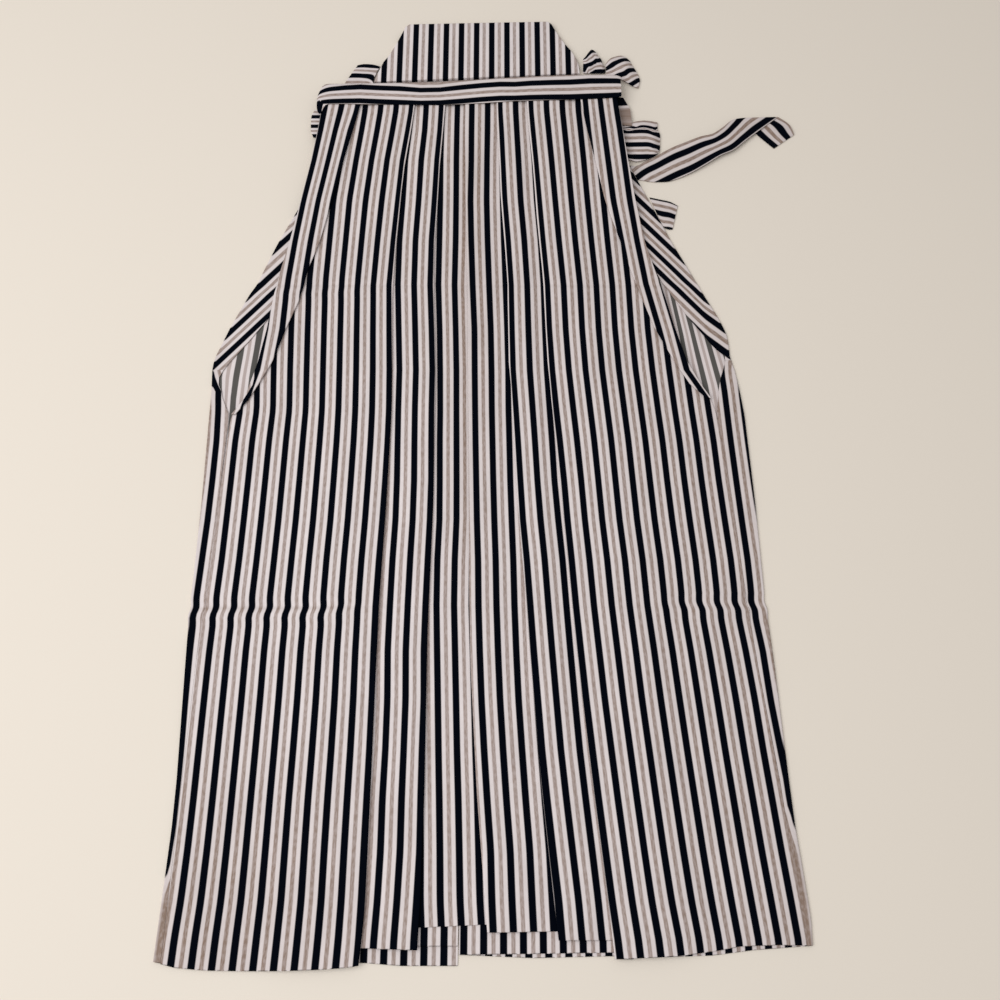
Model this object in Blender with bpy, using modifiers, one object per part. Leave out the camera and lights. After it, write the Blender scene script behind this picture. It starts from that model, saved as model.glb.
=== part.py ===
"""Hakama trousers laid flat with the front up.

Two backs lie on the ground and wrap round to the front at the sides. Gussets, two pleated fronts,
two side pleats, the waistband, the board at the small of the back and the folded ties lie on them.
X runs to the right as seen from above with the hem near, Y from the hem to the waist, Z up.
"""
import math

import bmesh
import bpy
import numpy as np

COLLECTION_NAME = "hakama_trousers"
MM = 0.001

# ---------------------------------------------------------------- cloth (millimetres)
WALL = 1.0            # thickness of one layer of cloth
GAP = 0.3             # air between two layers
PITCH = WALL + GAP    # from the middle of one layer to the middle of the next
FOLD_STEPS = 3        # flat faces round a turned fold
WIDE_FOLD = 1.35      # how much further a fold that runs aslant bulges outwards
GROUND_LAYER = WALL / 2
WRAP_LAYER = GROUND_LAYER + PITCH

# ---------------------------------------------------------------- where the cloth lies higher
WAIST_RISE = 6.1                  # the fronts climb over the ties folded inside the waist
WAIST_RISE_FROM = 700
WAIST_RISE_TO = 800
SIDE_DROP_LEFT = (-205, -135)     # below the side openings the fronts come down to the side seams
SIDE_DROP_RIGHT = (125, 190)
SIDE_DROP_TOP = (500, 590)
CROSS_CREASE_HEIGHTS = (307, 650)  # ridges left where the garment is folded away
CROSS_CREASE_RISE = 1.2
CROSS_CREASE_REACH = 20

# ---------------------------------------------------------------- fronts
FOLD_CLEARANCE = 3 * WALL         # a front's flat cloth stops this far from a fold's edge
RISE_CLEARANCE = 2 * WALL
TURN_CLEARANCE = 2 * WALL         # a layer's flat cloth stops this far from the edge it turns round
UNDERLAP_START = 0.3              # share of the underlap between a fold's edge and the layer under it
PLEAT_LEVELS = 2                  # a pleat's fold lies this many layers above the next panel
OUTER_UNDERLAP = 0.28             # how far the cloth runs back under a fold, in panel widths
INNER_UNDERLAP = 0.42
OUTER_RISE_FROM = 0.42            # where an outer panel starts to climb to its fold
CENTRE_UNDERLAP = 7
CENTRE_TUCK = 3.5
FRONT_TOP = 903

# One row for each height: the side edges of the fronts and the five pleat folds between them.
FRONT_COLUMNS = ("height", "left_edge", "fold_1", "fold_2", "fold_3", "fold_4", "fold_5", "right_edge")
FRONT_SECTIONS = (
    (-5, -283, -118.5, -70.5, -8, 52, 97, 258.5),
    (0, -283, -118, -70, -8.5, 51.5, 96.5, 258),
    (45, -282, -114.5, -68, -12.5, 46.5, 92.5, 255),
    (140, -280.5, -114, -66.5, -20.5, 37, 82.5, 247.5),
    (250, -278.5, -113.5, -67, -27, 28.5, 72, 236),
    (285, -277, -113, -67, -28, 26, 69, 233),
    (307, -276, -113, -66.5, -28.5, 24.5, 67.5, 231),
    (330, -275, -112.5, -66, -29, 23, 66, 229.5),
    (410, -272.5, -110, -64.5, -30, 17, 60, 225),
    (501, -268, -108.5, -65, -31.5, 12.5, 53, 216),
    (519, -257, -108.5, -65, -32, 11.5, 51.5, 211),
    (535, -249, -109, -65, -32, 11, 50.5, 201),
    (560, -244.5, -109.5, -65.5, -32.5, 9, 48.5, 189),
    (600, -238, -111, -67, -33, 8.5, 47, 178),
    (632, -233.5, -112, -68.5, -33.5, 8, 46, 170),
    (650, -231, -112, -69, -34, 8, 45.5, 165.5),
    (668, -228, -111.5, -69.5, -34.5, 7, 44.5, 161),
    (700, -222.5, -110.5, -69.5, -35.5, 5, 42, 152.5),
    (735, -216.5, -108.5, -68, -36.5, 2.5, 39.5, 147.5),
    (765, -212, -107, -67, -37.5, 0.5, 38, 143.5),
    (800, -206.5, -104.5, -66, -38, -0.5, 36, 139.5),
    (850, -200.5, -98.5, -63, -39, -3, 32, 134.5),
    (903, -195.5, -93.5, -60, -39.5, -4.5, 29, 128.5),
)

# Height of the hem across the two outer panels, and along the middle ones.
LEFT_HEM = ((-290, 3), (-271, -1.5), (-246, -3.5), (-216, -4), (-183, -4), (-150, -3), (-129, -1.5), (-118, 0))
RIGHT_HEM = ((97, 5), (134, 6.5), (155, 8), (186, 12), (203, 15), (235, 16), (262, 15.5))
PANEL_B_HEM = (13.5, 12)
PANEL_C_HEM = (29.5, 32)
PANEL_D_HEM = (25.5, 26.5)
PANEL_E_HEM = 19.5

# ---------------------------------------------------------------- side pleats
SIDE_PLEAT_TIP = 4                # narrowest width at the foot of a side pleat
SIDE_PLEAT_COLUMNS = ("height", "outer", "inner")
LEFT_SIDE_PLEAT = (
    (502, -268.5, -264.5), (519, -257, -252), (535, -249.5, -244), (560, -246.5, -232), (600, -240, -220),
    (632, -236.5, -209), (650, -234, -205.5), (668, -231, -202.5), (700, -224.5, -192.5),
    (755, -215.5, -181.5), (800, -208.5, -173.5), (850, -202.5, -163), (885, -199.5, -156.5),
    (903, -198, -153),
)
RIGHT_SIDE_PLEAT = (
    (520, 212, 207.5), (535, 203, 192), (560, 191, 178), (600, 180, 159), (632, 173, 148.5),
    (650, 168, 143), (668, 163, 137.5), (700, 154.5, 129), (755, 146.5, 113.5), (800, 141.5, 106),
    (850, 136.5, 96.5), (885, 132.5, 91), (903, 130.5, 89),
)

# ---------------------------------------------------------------- backs
BACK_TOP_LEFT = 909.9             # height of the backs' top edge at the board's two lower corners
BACK_TOP_RIGHT = 921.9
CENTRE_SEAM_HEM = -35
CENTRE_SEAM_TOP = -24.5
CENTRE_SEAM_GAP = 0.4
WRAP_CLEARANCE = 1.8 * WALL       # the wrapped cloth is flat from this far inside the outline
# One row for each height: the outline, and the inner edge of the cloth wrapped round to the front.
BACK_COLUMNS = ("height", "outline", "wrap")
LEFT_BACK = (
    (0, -289.8, -283.5), (45, -288, -282.5), (110, -285.6, -281.5), (150, -285.6, -280.8), (250, -288.5, -279),
    (307, -290, -276.5), (330, -289.5, -275.5), (410, -289, -273), (501, -290.3, -268.5), (519, -290.5, -277.5),
    (535, -291, -285.5), (546, -291.8, -289), (556, -292, -286.5), (567, -289.7, -277.5), (582, -284.2, -263.5),
    (600, -277.8, -248), (632, -264, -224), (652, -254, -213.5), (700, -236.5, -189), (765, -208, -160.5),
    (850, -171, -123.5), (909.9, -144.5, -97),
)
RIGHT_BACK = (
    (0, 262, 258.7), (33, 263, 256.2), (45, 262.5, 255.5), (80, 259.6, 252.5), (110, 257, 250.3),
    (150, 255.1, 247.2), (250, 251.5, 236.5), (307, 248.5, 231.5), (330, 248, 230), (410, 247, 225.5),
    (501, 244.1, 216.5), (526, 241.6, 214), (547, 238.9, 224), (559, 236.1, 229.5), (567, 234.3, 230.5),
    (578, 234.3, 222), (590, 233.3, 213), (603, 229, 203.5), (617, 222.9, 193.5), (636, 213.3, 180),
    (652, 206.2, 170.5), (700, 183.5, 148), (765, 156.5, 121), (850, 120, 84.5), (921.9, 88.5, 52.5),
)
LEFT_BACK_HEM = ((-290, 3), (-271, 0), (-246, -2), (-150, -1.5), (-116, 2.5), (-83, 0), (-36, 0))
RIGHT_BACK_HEM = ((-34, 8.5), (28, 6), (94, 7.5), (117, 6), (178, 8), (211, 12), (262, 15.5))

# ---------------------------------------------------------------- gussets between the legs
GUSSET_TOP = 430
GUSSET_TOP_WIDTH = 12
GUSSET_EDGE_INSET = 0.5
LEFT_GUSSET_OUTER = -130
RIGHT_GUSSET_OUTER = 120
LEFT_GUSSET_HEM = 15
RIGHT_GUSSET_HEM = (8.5, 10.5)

# ---------------------------------------------------------------- waistband: edges at each place along it
BAND_LAYERS = 4                   # layers of front held between its two faces
BAND_COLUMNS = ("x", "lower", "upper")
BAND_SECTIONS = (
    (-206, 889.5, 908.5), (-199, 884, 910.5), (-170, 883, 911), (-112, 882, 912.5), (-67, 881.5, 914),
    (-20, 884, 917), (17, 887, 920), (68, 888.5, 923), (113, 890.5, 924), (133, 892, 923), (137, 894, 921),
)

# ---------------------------------------------------------------- board at the small of the back
BOARD_THICKNESS = 4.5
BOARD_EDGE_ROUND = 1.2
BOARD_OUTLINE = (
    (-143, 914), (-141, 922), (-136, 935), (-133, 943), (-127, 952), (-118, 972), (-112, 987),
    (-110, 993), (-105, 997), (-30, 999), (56, 1001), (60, 997), (64, 988), (75, 968), (82, 958),
    (87, 948), (90, 938), (91, 926),
)

# ---------------------------------------------------------------- ties
FOLDED_TIES_LEFT = -184
FOLDED_TIES_RIGHT = 127
FOLDED_TIES_FOOT = 735
FOLDED_TIES_TOP = 902
FOLDED_TIES_UNDER_BAND = 868
FOLDED_TIES_STEP = 4              # the wedge steps down over this much height above that line
FOLDED_TIES_LEVELS = (765, 800, 835)
FOLDED_TIES_ACROSS = 6            # equal spans across its top and its foot
FOLDED_TIES_ROUND = 3.0
FOLDED_TIES_BEVEL = 2
# Edges of each stretch of tie that shows, with the height it lies at: one row for each place along it.
# A doubled tie also has the height its upper layer bulges to.
TIE_COLUMNS = ("x_a", "y_a", "x_b", "y_b", "z", "bulge")
BACK_TIE_LEFT = (
    (-146, 906, -136.4, 934.9, 3.1, 4.6), (-150, 906, -143.9, 937.5, 3.1, 5.4),
    (-158, 905.5, -153.1, 938.5, 3.1, 5.6), (-168, 905, -157.6, 938.1, 3.1, 5.0),
    (-178, 905, -161.6, 937.2, 3.1, 4.4),
)
RIGHT_LOOP_INNER = (
    (91.4, 927.5, 90.3, 940, 1.0, 2.6), (98, 926, 98.6, 949.8, 1.0, 4.6), (102, 926, 102.2, 955.3, 1.0, 6.2),
    (105, 926, 105.4, 959.1, 1.0, 6.6), (108, 926, 108.5, 957.1, 1.0, 6.2), (111, 926, 111.8, 951.2, 1.0, 5.6),
    (114.5, 926, 115.1, 946.2, 1.0, 4.6), (118.8, 926.1, 118.9, 934.9, 1.0, 2.3),
)
RIGHT_LOOP_OUTER = (
    (120.8, 923.3, 120.6, 938.5, 0.7, 3.4), (127.9, 921.5, 126.5, 946.5, 0.7, 5.4),
    (135.2, 918.4, 133.3, 949.5, 0.7, 6.4), (142.9, 913.4, 139, 950.4, 0.7, 6.4),
    (150, 907.8, 143.9, 948.1, 0.7, 5.2), (155.6, 905, 147.9, 943.5, 0.7, 2.0),
)
RIGHT_LOOP_LOWER = (
    (138.5, 811.5, 118, 857, 0.7, 2.0), (145, 808, 136, 853.3, 0.7, 2.0), (150.5, 807, 151.2, 858.4, 0.7, 4.6),
    (156, 808, 157.4, 859.5, 0.7, 5.4), (164.8, 812, 166.3, 859.3, 0.7, 5.4),
    (171, 815.5, 173, 857.7, 0.7, 4.6), (174.5, 819, 174.6, 857.4, 0.7, 2.0),
)
RIGHT_PATCH = (
    (129, 893, 139, 891, 3.1), (130, 876, 145, 878, 3.1), (134, 854, 147, 853, 3.9),
)
FREE_TIE = (
    (142.1, 799.5, 150, 781, 0.5), (159.3, 805.2, 163.5, 778.6, 0.5), (170.6, 811.1, 174.4, 778.4, 0.8),
    (179.7, 817.1, 183.1, 779, 1.2), (190, 823.4, 193.1, 782.3, 1.8), (204.8, 830.4, 210, 791, 3.0),
    (222.6, 838.4, 228.4, 803.2, 4.1), (236.6, 842.4, 243.4, 813.5, 4.5), (247.7, 850.5, 257.1, 820.2, 4.4),
    (259.7, 860.8, 271.6, 832.7, 3.9), (270.5, 863.3, 283.7, 842.9, 3.0), (287.3, 864.1, 294, 851.3, 2.2),
    (307.5, 864.8, 309, 863.3, 1.5),
)
FREE_TIE_END = (
    (265.9, 862.2, 310.8, 864.7, 0.5), (278.3, 849.3, 321.8, 855.1, 0.5), (291.4, 834.1, 325.8, 843.9, 0.5),
    (302.5, 822.4, 326.3, 840.5, 0.5),
)
LOW_TIE_END = (
    (175.6, 720, 159.8, 758, 0.5), (177, 720, 174.2, 755.2, 0.5), (180.3, 718.2, 183.8, 752.6, 0.9),
    (184.5, 717.9, 191.7, 747.6, 0.5),
)
LEFT_FOLD_HEIGHTS = (837, 846, 856, 866, 874)
LEFT_FOLD_OUTER = (-207, -210.5, -211, -211, -208)
LEFT_FOLD_INNER = -186
LEFT_FOLD_LAYERS = 4
DOUBLED_TIE_POINTS = 7
SINGLE_TIE_POINTS = 4

# ---------------------------------------------------------------- where the tables' places are
# The tables give each place as sighted from this point down to the ground. Cloth that lies higher
# hides ground further out, so it is drawn in towards the point's foot by its own height.
SIGHT_FOOT = (0.0, 92.7)
SIGHT_HEIGHT = 915.0
ORIGIN_X = 16.8
ORIGIN_Y = 496.4

CLOTH_COLOUR = (0.42, 0.37, 0.34, 1.0)
TIE_COLOUR = (0.50, 0.46, 0.42, 1.0)


# ---------------------------------------------------------------- reading the tables
def read(table, columns, name, at, along="height"):
    """Value of one column of a table at a place along another."""
    places = [row[columns.index(along)] for row in table]
    values = [row[columns.index(name)] for row in table]
    return float(np.interp(at, places, values))


def front(name, height):
    return read(FRONT_SECTIONS, FRONT_COLUMNS, name, height)


def front_heights():
    """Heights of the level sections that the fronts and the side pleats share."""
    return [row[0] for row in FRONT_SECTIONS if row[0] > 0]


def hem_of(table, x):
    return float(np.interp(x, [row[0] for row in table], [row[1] for row in table]))


def smooth(value, start, end):
    """0 before start, 1 after end, and an even curve between them."""
    t = min(max((value - start) / (end - start), 0.0), 1.0)
    return t * t * (3 - 2 * t)


# ---------------------------------------------------------------- how high the fronts lie
def lying(x, height):
    """Middle of the fronts' lowest layer."""
    inside = smooth(x, *SIDE_DROP_LEFT) * (1 - smooth(x, *SIDE_DROP_RIGHT))
    above = smooth(height, *SIDE_DROP_TOP)
    ridge = sum(math.exp(-((height - crease) / CROSS_CREASE_REACH) ** 2) for crease in CROSS_CREASE_HEIGHTS)
    waist = smooth(height, WAIST_RISE_FROM, WAIST_RISE_TO)
    return WRAP_LAYER + PITCH * max(inside, above) + CROSS_CREASE_RISE * ridge + WAIST_RISE * waist


def turned_fold(x, low, high, side, hem, widen=1.0):
    """Points round a fold whose edge is at x; side is +1 when it faces right."""
    reach = abs(high - low) / 2 * widen
    centre = x - side * (reach + WALL / 2)
    middle = (low + high) / 2
    points = []
    for step in range(FOLD_STEPS + 1):
        angle = math.pi * step / FOLD_STEPS
        z = middle + (low - high) / 2 * math.cos(angle)
        points.append((centre + side * reach * math.sin(angle), z, hem))
    return points


def stretch(x_from, x_to, count, level, height, hem_from, hem_to, rise=None):
    """Points along one layer; rise is (where it starts, where it ends, level it climbs to)."""
    points = []
    for step in range(count):
        t = step / (count - 1)
        x = x_from + (x_to - x_from) * t
        climb = 0.0
        if rise:
            start, end, top = rise
            climb = smooth(abs(x - x_from), abs(start - x_from), abs(end - x_from)) * (top - level)
        points.append((x, lying(x, height) + PITCH * (level + climb), hem_from + (hem_to - hem_from) * t))
    return points


def pleat(fold, underlap, side, height, hem_fold, hem_back, hem_next):
    """A pleat's fold, the layer that runs back under it and the turn to the next panel."""
    back = fold - side * underlap
    base = lying(fold, height)
    base_back = lying(back, height)
    low, middle, high = (base + PITCH * level for level in (0, 1, PLEAT_LEVELS))
    points = turned_fold(fold, high, middle, side, hem_fold)
    under_from = fold - side * (WALL + underlap * UNDERLAP_START)
    points += stretch(under_from, back + side * TURN_CLEARANCE, 3, 1, height, hem_fold, hem_back)
    points += turned_fold(back, base_back + PITCH, base_back, -side, hem_back)
    points += stretch(back + side * TURN_CLEARANCE, fold, 2, 0, height, hem_back, hem_next)
    return points


# ---------------------------------------------------------------- sections of the fronts
def left_front_section(height):
    edge = front("left_edge", height)
    fold_1, fold_2, fold_3 = (front(name, height) for name in ("fold_1", "fold_2", "fold_3"))
    width_a = fold_1 - edge
    width_b = fold_2 - fold_1
    lap_a = OUTER_UNDERLAP * width_a
    lap_b = INNER_UNDERLAP * width_b
    top = PLEAT_LEVELS
    points = stretch(edge, fold_1 - FOLD_CLEARANCE, 9, 0, height, 0, 0,
                     (edge + OUTER_RISE_FROM * width_a, fold_1 - lap_a - RISE_CLEARANCE, top))
    points = [(x, z, hem_of(LEFT_HEM, x)) for x, z, hem in points]
    b_start, b_end = PANEL_B_HEM
    c_start, c_end = PANEL_C_HEM
    points += pleat(fold_1, lap_a, 1, height, 0.0, b_start / 2, b_start)
    points += stretch(fold_1 + WALL, fold_2 - FOLD_CLEARANCE, 5, 0, height, b_start, b_end,
                      (fold_1 + WALL, fold_2 - lap_b - RISE_CLEARANCE, top))
    points += pleat(fold_2, lap_b, 1, height, b_end, (b_end + c_start) / 2, c_start)
    points += stretch(fold_2 + WALL, fold_3 + CENTRE_TUCK, 4, 0, height, c_start, c_end)
    return points


def right_front_section(height):
    edge = front("right_edge", height)
    fold_5, fold_4, fold_3 = (front(name, height) for name in ("fold_5", "fold_4", "fold_3"))
    width_f = edge - fold_5
    width_e = fold_5 - fold_4
    lap_f = OUTER_UNDERLAP * width_f
    lap_e = INNER_UNDERLAP * width_e
    top = PLEAT_LEVELS
    f_hem = RIGHT_HEM[0][1]
    points = stretch(edge, fold_5 + FOLD_CLEARANCE, 9, 0, height, 0, 0,
                     (edge - OUTER_RISE_FROM * width_f, fold_5 + lap_f + RISE_CLEARANCE, top))
    points = [(x, z, hem_of(RIGHT_HEM, x)) for x, z, hem in points]
    d_start, d_end = PANEL_D_HEM
    points += pleat(fold_5, lap_f, -1, height, f_hem, (f_hem + PANEL_E_HEM) / 2, PANEL_E_HEM)
    points += stretch(fold_5 - WALL, fold_4 + FOLD_CLEARANCE, 5, 0, height, PANEL_E_HEM, PANEL_E_HEM,
                      (fold_5 - WALL, fold_4 + lap_e + RISE_CLEARANCE, top))
    points += pleat(fold_4, lap_e, -1, height, PANEL_E_HEM, (PANEL_E_HEM + d_end) / 2, d_end)
    points += stretch(fold_4 - WALL, fold_3 + FOLD_CLEARANCE, 5, 0, height, d_end, d_start,
                      (fold_4 - WALL, fold_3 + CENTRE_UNDERLAP + RISE_CLEARANCE, top))
    base = lying(fold_3, height)
    points += turned_fold(fold_3, base + PITCH * top, base + PITCH, -1, d_start)
    points += stretch(fold_3 + FOLD_CLEARANCE, fold_3 + CENTRE_UNDERLAP, 2, 1, height, d_start, d_start)
    return points


# ---------------------------------------------------------------- sections of the backs and side pleats
def centre_seam(height):
    return CENTRE_SEAM_HEM + (CENTRE_SEAM_TOP - CENTRE_SEAM_HEM) * height / BACK_TOP_RIGHT


def back_section(table, hem, side, height):
    """From the centre seam out to the outline, round it, and in to the edge of the wrap."""
    outline = read(table, BACK_COLUMNS, "outline", height)
    wrap = read(table, BACK_COLUMNS, "wrap", height)
    seam = centre_seam(height) + side * CENTRE_SEAM_GAP
    points = []
    for step in range(8):
        x = seam + (outline - side * TURN_CLEARANCE - seam) * step / 7
        points.append((x, GROUND_LAYER, hem_of(hem, x)))
    points += turned_fold(outline, GROUND_LAYER, WRAP_LAYER, side, hem_of(hem, outline), WIDE_FOLD)
    start = outline - side * WRAP_CLEARANCE
    for step in range(3):
        x = start + (wrap - start) * step / 2
        points.append((x, WRAP_LAYER, hem_of(hem, x)))
    return points


def side_pleat_section(table, side, height):
    outer = read(table, SIDE_PLEAT_COLUMNS, "outer", height)
    inner = read(table, SIDE_PLEAT_COLUMNS, "inner", height)
    if side * (inner - outer) < SIDE_PLEAT_TIP:
        inner = outer + side * SIDE_PLEAT_TIP
    turn = inner - side * TURN_CLEARANCE
    base = lying(inner, height)
    across = [outer + (turn - outer) * step / 2 for step in range(3)]
    points = [(x, lying(x, height) + PITCH, 0) for x in across]
    points += turned_fold(inner, base + PITCH, base + 2 * PITCH, side, 0, WIDE_FOLD)
    points += [(x, lying(x, height) + 2 * PITCH, 0) for x in reversed(across)]
    return points


# ---------------------------------------------------------------- meshes
def place(x, height, z):
    """A point in metres round the object's origin, where the cloth is z millimetres up."""
    nearer = 1 - z / SIGHT_HEIGHT
    true_x = SIGHT_FOOT[0] + (x - SIGHT_FOOT[0]) * nearer
    true_height = SIGHT_FOOT[1] + (height - SIGHT_FOOT[1]) * nearer
    return ((true_x - ORIGIN_X) * MM, (true_height - ORIGIN_Y) * MM, z * MM)


def cloth_material(name, colour, roughness=0.85):
    material = bpy.data.materials.new(name)
    material.use_nodes = True
    shader = material.node_tree.nodes["Principled BSDF"]
    shader.inputs["Base Color"].default_value = colour
    shader.inputs["Roughness"].default_value = roughness
    shader.inputs["Metallic"].default_value = 0.0
    return material


def add_object(name, mesh, colour):
    part = bpy.data.objects.new(name, mesh)
    bpy.data.collections[COLLECTION_NAME].objects.link(part)
    mesh.materials.append(cloth_material(name, colour))
    return part


def loft(name, rows, colour):
    """One sheet of cloth through rows of points, given its thickness both ways from the middle."""
    mesh = bpy.data.meshes.new(name)
    shape = bmesh.new()
    grid = [[shape.verts.new(point) for point in row] for row in rows]
    for lower, upper in zip(grid, grid[1:]):
        for a, b, c, d in zip(lower, lower[1:], upper[1:], upper):
            shape.faces.new((a, b, c, d))
    shape.to_mesh(mesh)
    shape.free()
    part = add_object(name, mesh, colour)
    solidify = part.modifiers.new("wall", "SOLIDIFY")
    solidify.thickness = WALL * MM
    solidify.offset = 0
    solidify.use_even_offset = True
    return part


def rows_from_section(section, heights):
    """Rows of placed points: the first follows the hem, the others are level."""
    hems = [hem for x, z, hem in section(heights[0])]
    first = []
    for index, hem in enumerate(hems):
        x, z, unused_hem = section(hem)[index]
        first.append(place(x, hem, z))
    rows = [first]
    for height in heights[1:]:
        rows.append([place(x, height, z) for x, z, hem in section(height)])
    return rows


# ---------------------------------------------------------------- the pieces
def add_fronts():
    heights = [0] + front_heights()
    loft("front_left", rows_from_section(left_front_section, heights), CLOTH_COLOUR)
    loft("front_right", rows_from_section(right_front_section, heights), CLOTH_COLOUR)


def add_side_pleats():
    pleats = (("side_pleat_left", LEFT_SIDE_PLEAT, 1), ("side_pleat_right", RIGHT_SIDE_PLEAT, -1))
    for name, table, side in pleats:
        rows = []
        foot = table[0][0]
        for height in [foot] + [level for level in front_heights() if level > foot]:
            section = side_pleat_section(table, side, height)
            rows.append([place(x, height, z) for x, z, hem in section])
        loft(name, rows, CLOTH_COLOUR)


def add_backs():
    backs = (("back_left", LEFT_BACK, LEFT_BACK_HEM, -1), ("back_right", RIGHT_BACK, RIGHT_BACK_HEM, 1))
    left_corner = LEFT_BACK[-1][1]
    right_corner = RIGHT_BACK[-1][1]
    for name, table, hem, side in backs:
        def section(height, table=table, hem=hem, side=side):
            return back_section(table, hem, side, height)
        heights = [row[0] for row in table if row[0] < BACK_TOP_LEFT]
        rows = rows_from_section(section, heights)
        top = []
        for x, z, unused_hem in section(table[-1][0]):
            slope = (BACK_TOP_RIGHT - BACK_TOP_LEFT) / (right_corner - left_corner)
            top.append(place(x, BACK_TOP_LEFT + (x - left_corner) * slope, z))
        rows.append(top)
        loft(name, rows, CLOTH_COLOUR)


def add_gussets():
    """Narrow triangles that widen the legs from the crotch to the hem."""
    heights = (0, 60, 140, 220, 300, 370, GUSSET_TOP)
    for name, outer, side in (("gusset_left", LEFT_GUSSET_OUTER, -1), ("gusset_right", RIGHT_GUSSET_OUTER, 1)):
        rows = []
        for height in heights:
            seam = centre_seam(height) + side * GUSSET_EDGE_INSET
            narrow = seam + side * GUSSET_TOP_WIDTH
            far = outer + (narrow - outer) * height / GUSSET_TOP
            row = []
            for step in range(6):
                t = step / 5
                x = seam + (far - seam) * t
                y = height
                if height == 0:
                    y = LEFT_GUSSET_HEM
                    if side > 0:
                        y = RIGHT_GUSSET_HEM[0] + (RIGHT_GUSSET_HEM[1] - RIGHT_GUSSET_HEM[0]) * t
                row.append(place(x, y, WRAP_LAYER))
            rows.append(row)
        loft(name, rows, CLOTH_COLOUR)


def add_band():
    """A folded strip that holds the fronts' top edges between its two faces."""
    radius = PITCH * BAND_LAYERS / 2
    rows = []
    for x, lower, upper in BAND_SECTIONS:
        base = lying(0, FRONT_TOP) - PITCH
        centre = upper - radius - WALL / 2
        row = [place(x, lower + (centre - lower) * step / 2, base) for step in range(3)]
        for step in range(1, 6):
            angle = math.pi * step / 6
            row.append(place(x, centre + radius * math.sin(angle), base + radius - radius * math.cos(angle)))
        row += [place(x, centre + (lower - centre) * step / 2, base + 2 * radius) for step in range(3)]
        rows.append(row)
    loft("front_band", rows, CLOTH_COLOUR)


def add_board():
    """The stiff board, a flat outline with its own thickness and rounded edges."""
    curve = bpy.data.curves.new("back_board_outline", "CURVE")
    curve.dimensions = "2D"
    curve.fill_mode = "BOTH"
    half = BOARD_THICKNESS / 2
    curve.extrude = half * MM
    spline = curve.splines.new("POLY")
    spline.points.add(len(BOARD_OUTLINE) - 1)
    for point, (x, height) in zip(spline.points, BOARD_OUTLINE):
        point.co = (*place(x, height, BOARD_THICKNESS)[:2], 0, 1)
    spline.use_cyclic_u = True
    outline = bpy.data.objects.new("back_board_outline", curve)
    bpy.data.collections[COLLECTION_NAME].objects.link(outline)
    mesh = bpy.data.meshes.new_from_object(outline.evaluated_get(bpy.context.evaluated_depsgraph_get()))
    bpy.data.objects.remove(outline)
    mesh.name = "back_board"
    shape = bmesh.new()
    shape.from_mesh(mesh)
    bmesh.ops.remove_doubles(shape, verts=shape.verts, dist=0.00001)
    bmesh.ops.translate(shape, verts=shape.verts, vec=(0, 0, half * MM))
    bmesh.ops.recalc_face_normals(shape, faces=shape.faces)
    shape.to_mesh(mesh)
    shape.free()
    mesh.materials.clear()
    board = add_object("back_board", mesh, CLOTH_COLOUR)
    bevel = board.modifiers.new("soft_edge", "BEVEL")
    bevel.width = BOARD_EDGE_ROUND * MM
    bevel.segments = 2
    bevel.limit_method = "ANGLE"
    bevel.angle_limit = math.radians(60)


def add_folded_ties():
    """The ties folded between the fronts and the backs: one wedge that fills the waist."""
    foot = WRAP_LAYER + WALL / 2 + GAP
    mesh = bpy.data.meshes.new("ties_folded")
    shape = bmesh.new()
    rings = []
    heights = (FOLDED_TIES_FOOT, *FOLDED_TIES_LEVELS, FOLDED_TIES_UNDER_BAND,
               FOLDED_TIES_UNDER_BAND + FOLDED_TIES_STEP, FOLDED_TIES_TOP - FOLDED_TIES_BEVEL, FOLDED_TIES_TOP)
    for height in heights:
        ceiling = lying(0, height) - WALL / 2 - GAP
        if height > FOLDED_TIES_UNDER_BAND:
            ceiling -= PITCH
        if height == FOLDED_TIES_TOP:
            ceiling -= FOLDED_TIES_BEVEL
        thickness = ceiling - foot
        side_round = min(FOLDED_TIES_ROUND, thickness)
        left = FOLDED_TIES_LEFT
        right = FOLDED_TIES_RIGHT
        span = (right - left) / FOLDED_TIES_ACROSS
        steps = range(1, FOLDED_TIES_ACROSS)
        outline = [(left, foot), (left, foot + thickness / 2), (left + side_round, ceiling)]
        outline += [(left + span * step, ceiling) for step in steps]
        outline += [(right - side_round, ceiling), (right, foot + thickness / 2), (right, foot)]
        outline += [(right - span * step, foot) for step in steps]
        rings.append([shape.verts.new(place(x, height, z)) for x, z in outline])
    count = len(rings[0])
    for lower, upper in zip(rings, rings[1:]):
        for index in range(count):
            following = (index + 1) % count
            shape.faces.new((lower[index], lower[following], upper[following], upper[index]))
    shape.faces.new(rings[0])
    shape.faces.new(list(reversed(rings[-1])))
    bmesh.ops.recalc_face_normals(shape, faces=shape.faces)
    shape.to_mesh(mesh)
    shape.free()
    add_object("ties_folded", mesh, TIE_COLOUR)


def add_left_tie_fold():
    """Zigzag of tie that sticks out at the left of the waist."""
    rows = []
    floor_level = lying(0, FRONT_TOP) - PITCH * LEFT_FOLD_LAYERS
    for height, outer in zip(LEFT_FOLD_HEIGHTS, LEFT_FOLD_OUTER):
        inner = LEFT_FOLD_INNER
        section = [(inner, floor_level), ((inner + outer) / 2, floor_level)]
        for layer in range(1, LEFT_FOLD_LAYERS):
            low = floor_level + PITCH * (layer - 1)
            side = -1 if layer % 2 else 1
            edge = outer if layer % 2 else inner
            section += [(x, z) for x, z, hem in turned_fold(edge, low, low + PITCH, side, 0)]
            section.append(((inner + outer) / 2, low + PITCH))
        section.append((inner, floor_level + PITCH * (LEFT_FOLD_LAYERS - 1)))
        rows.append([place(x, height, z) for x, z in section])
    loft("tie_fold_left", rows, TIE_COLOUR)


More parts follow.
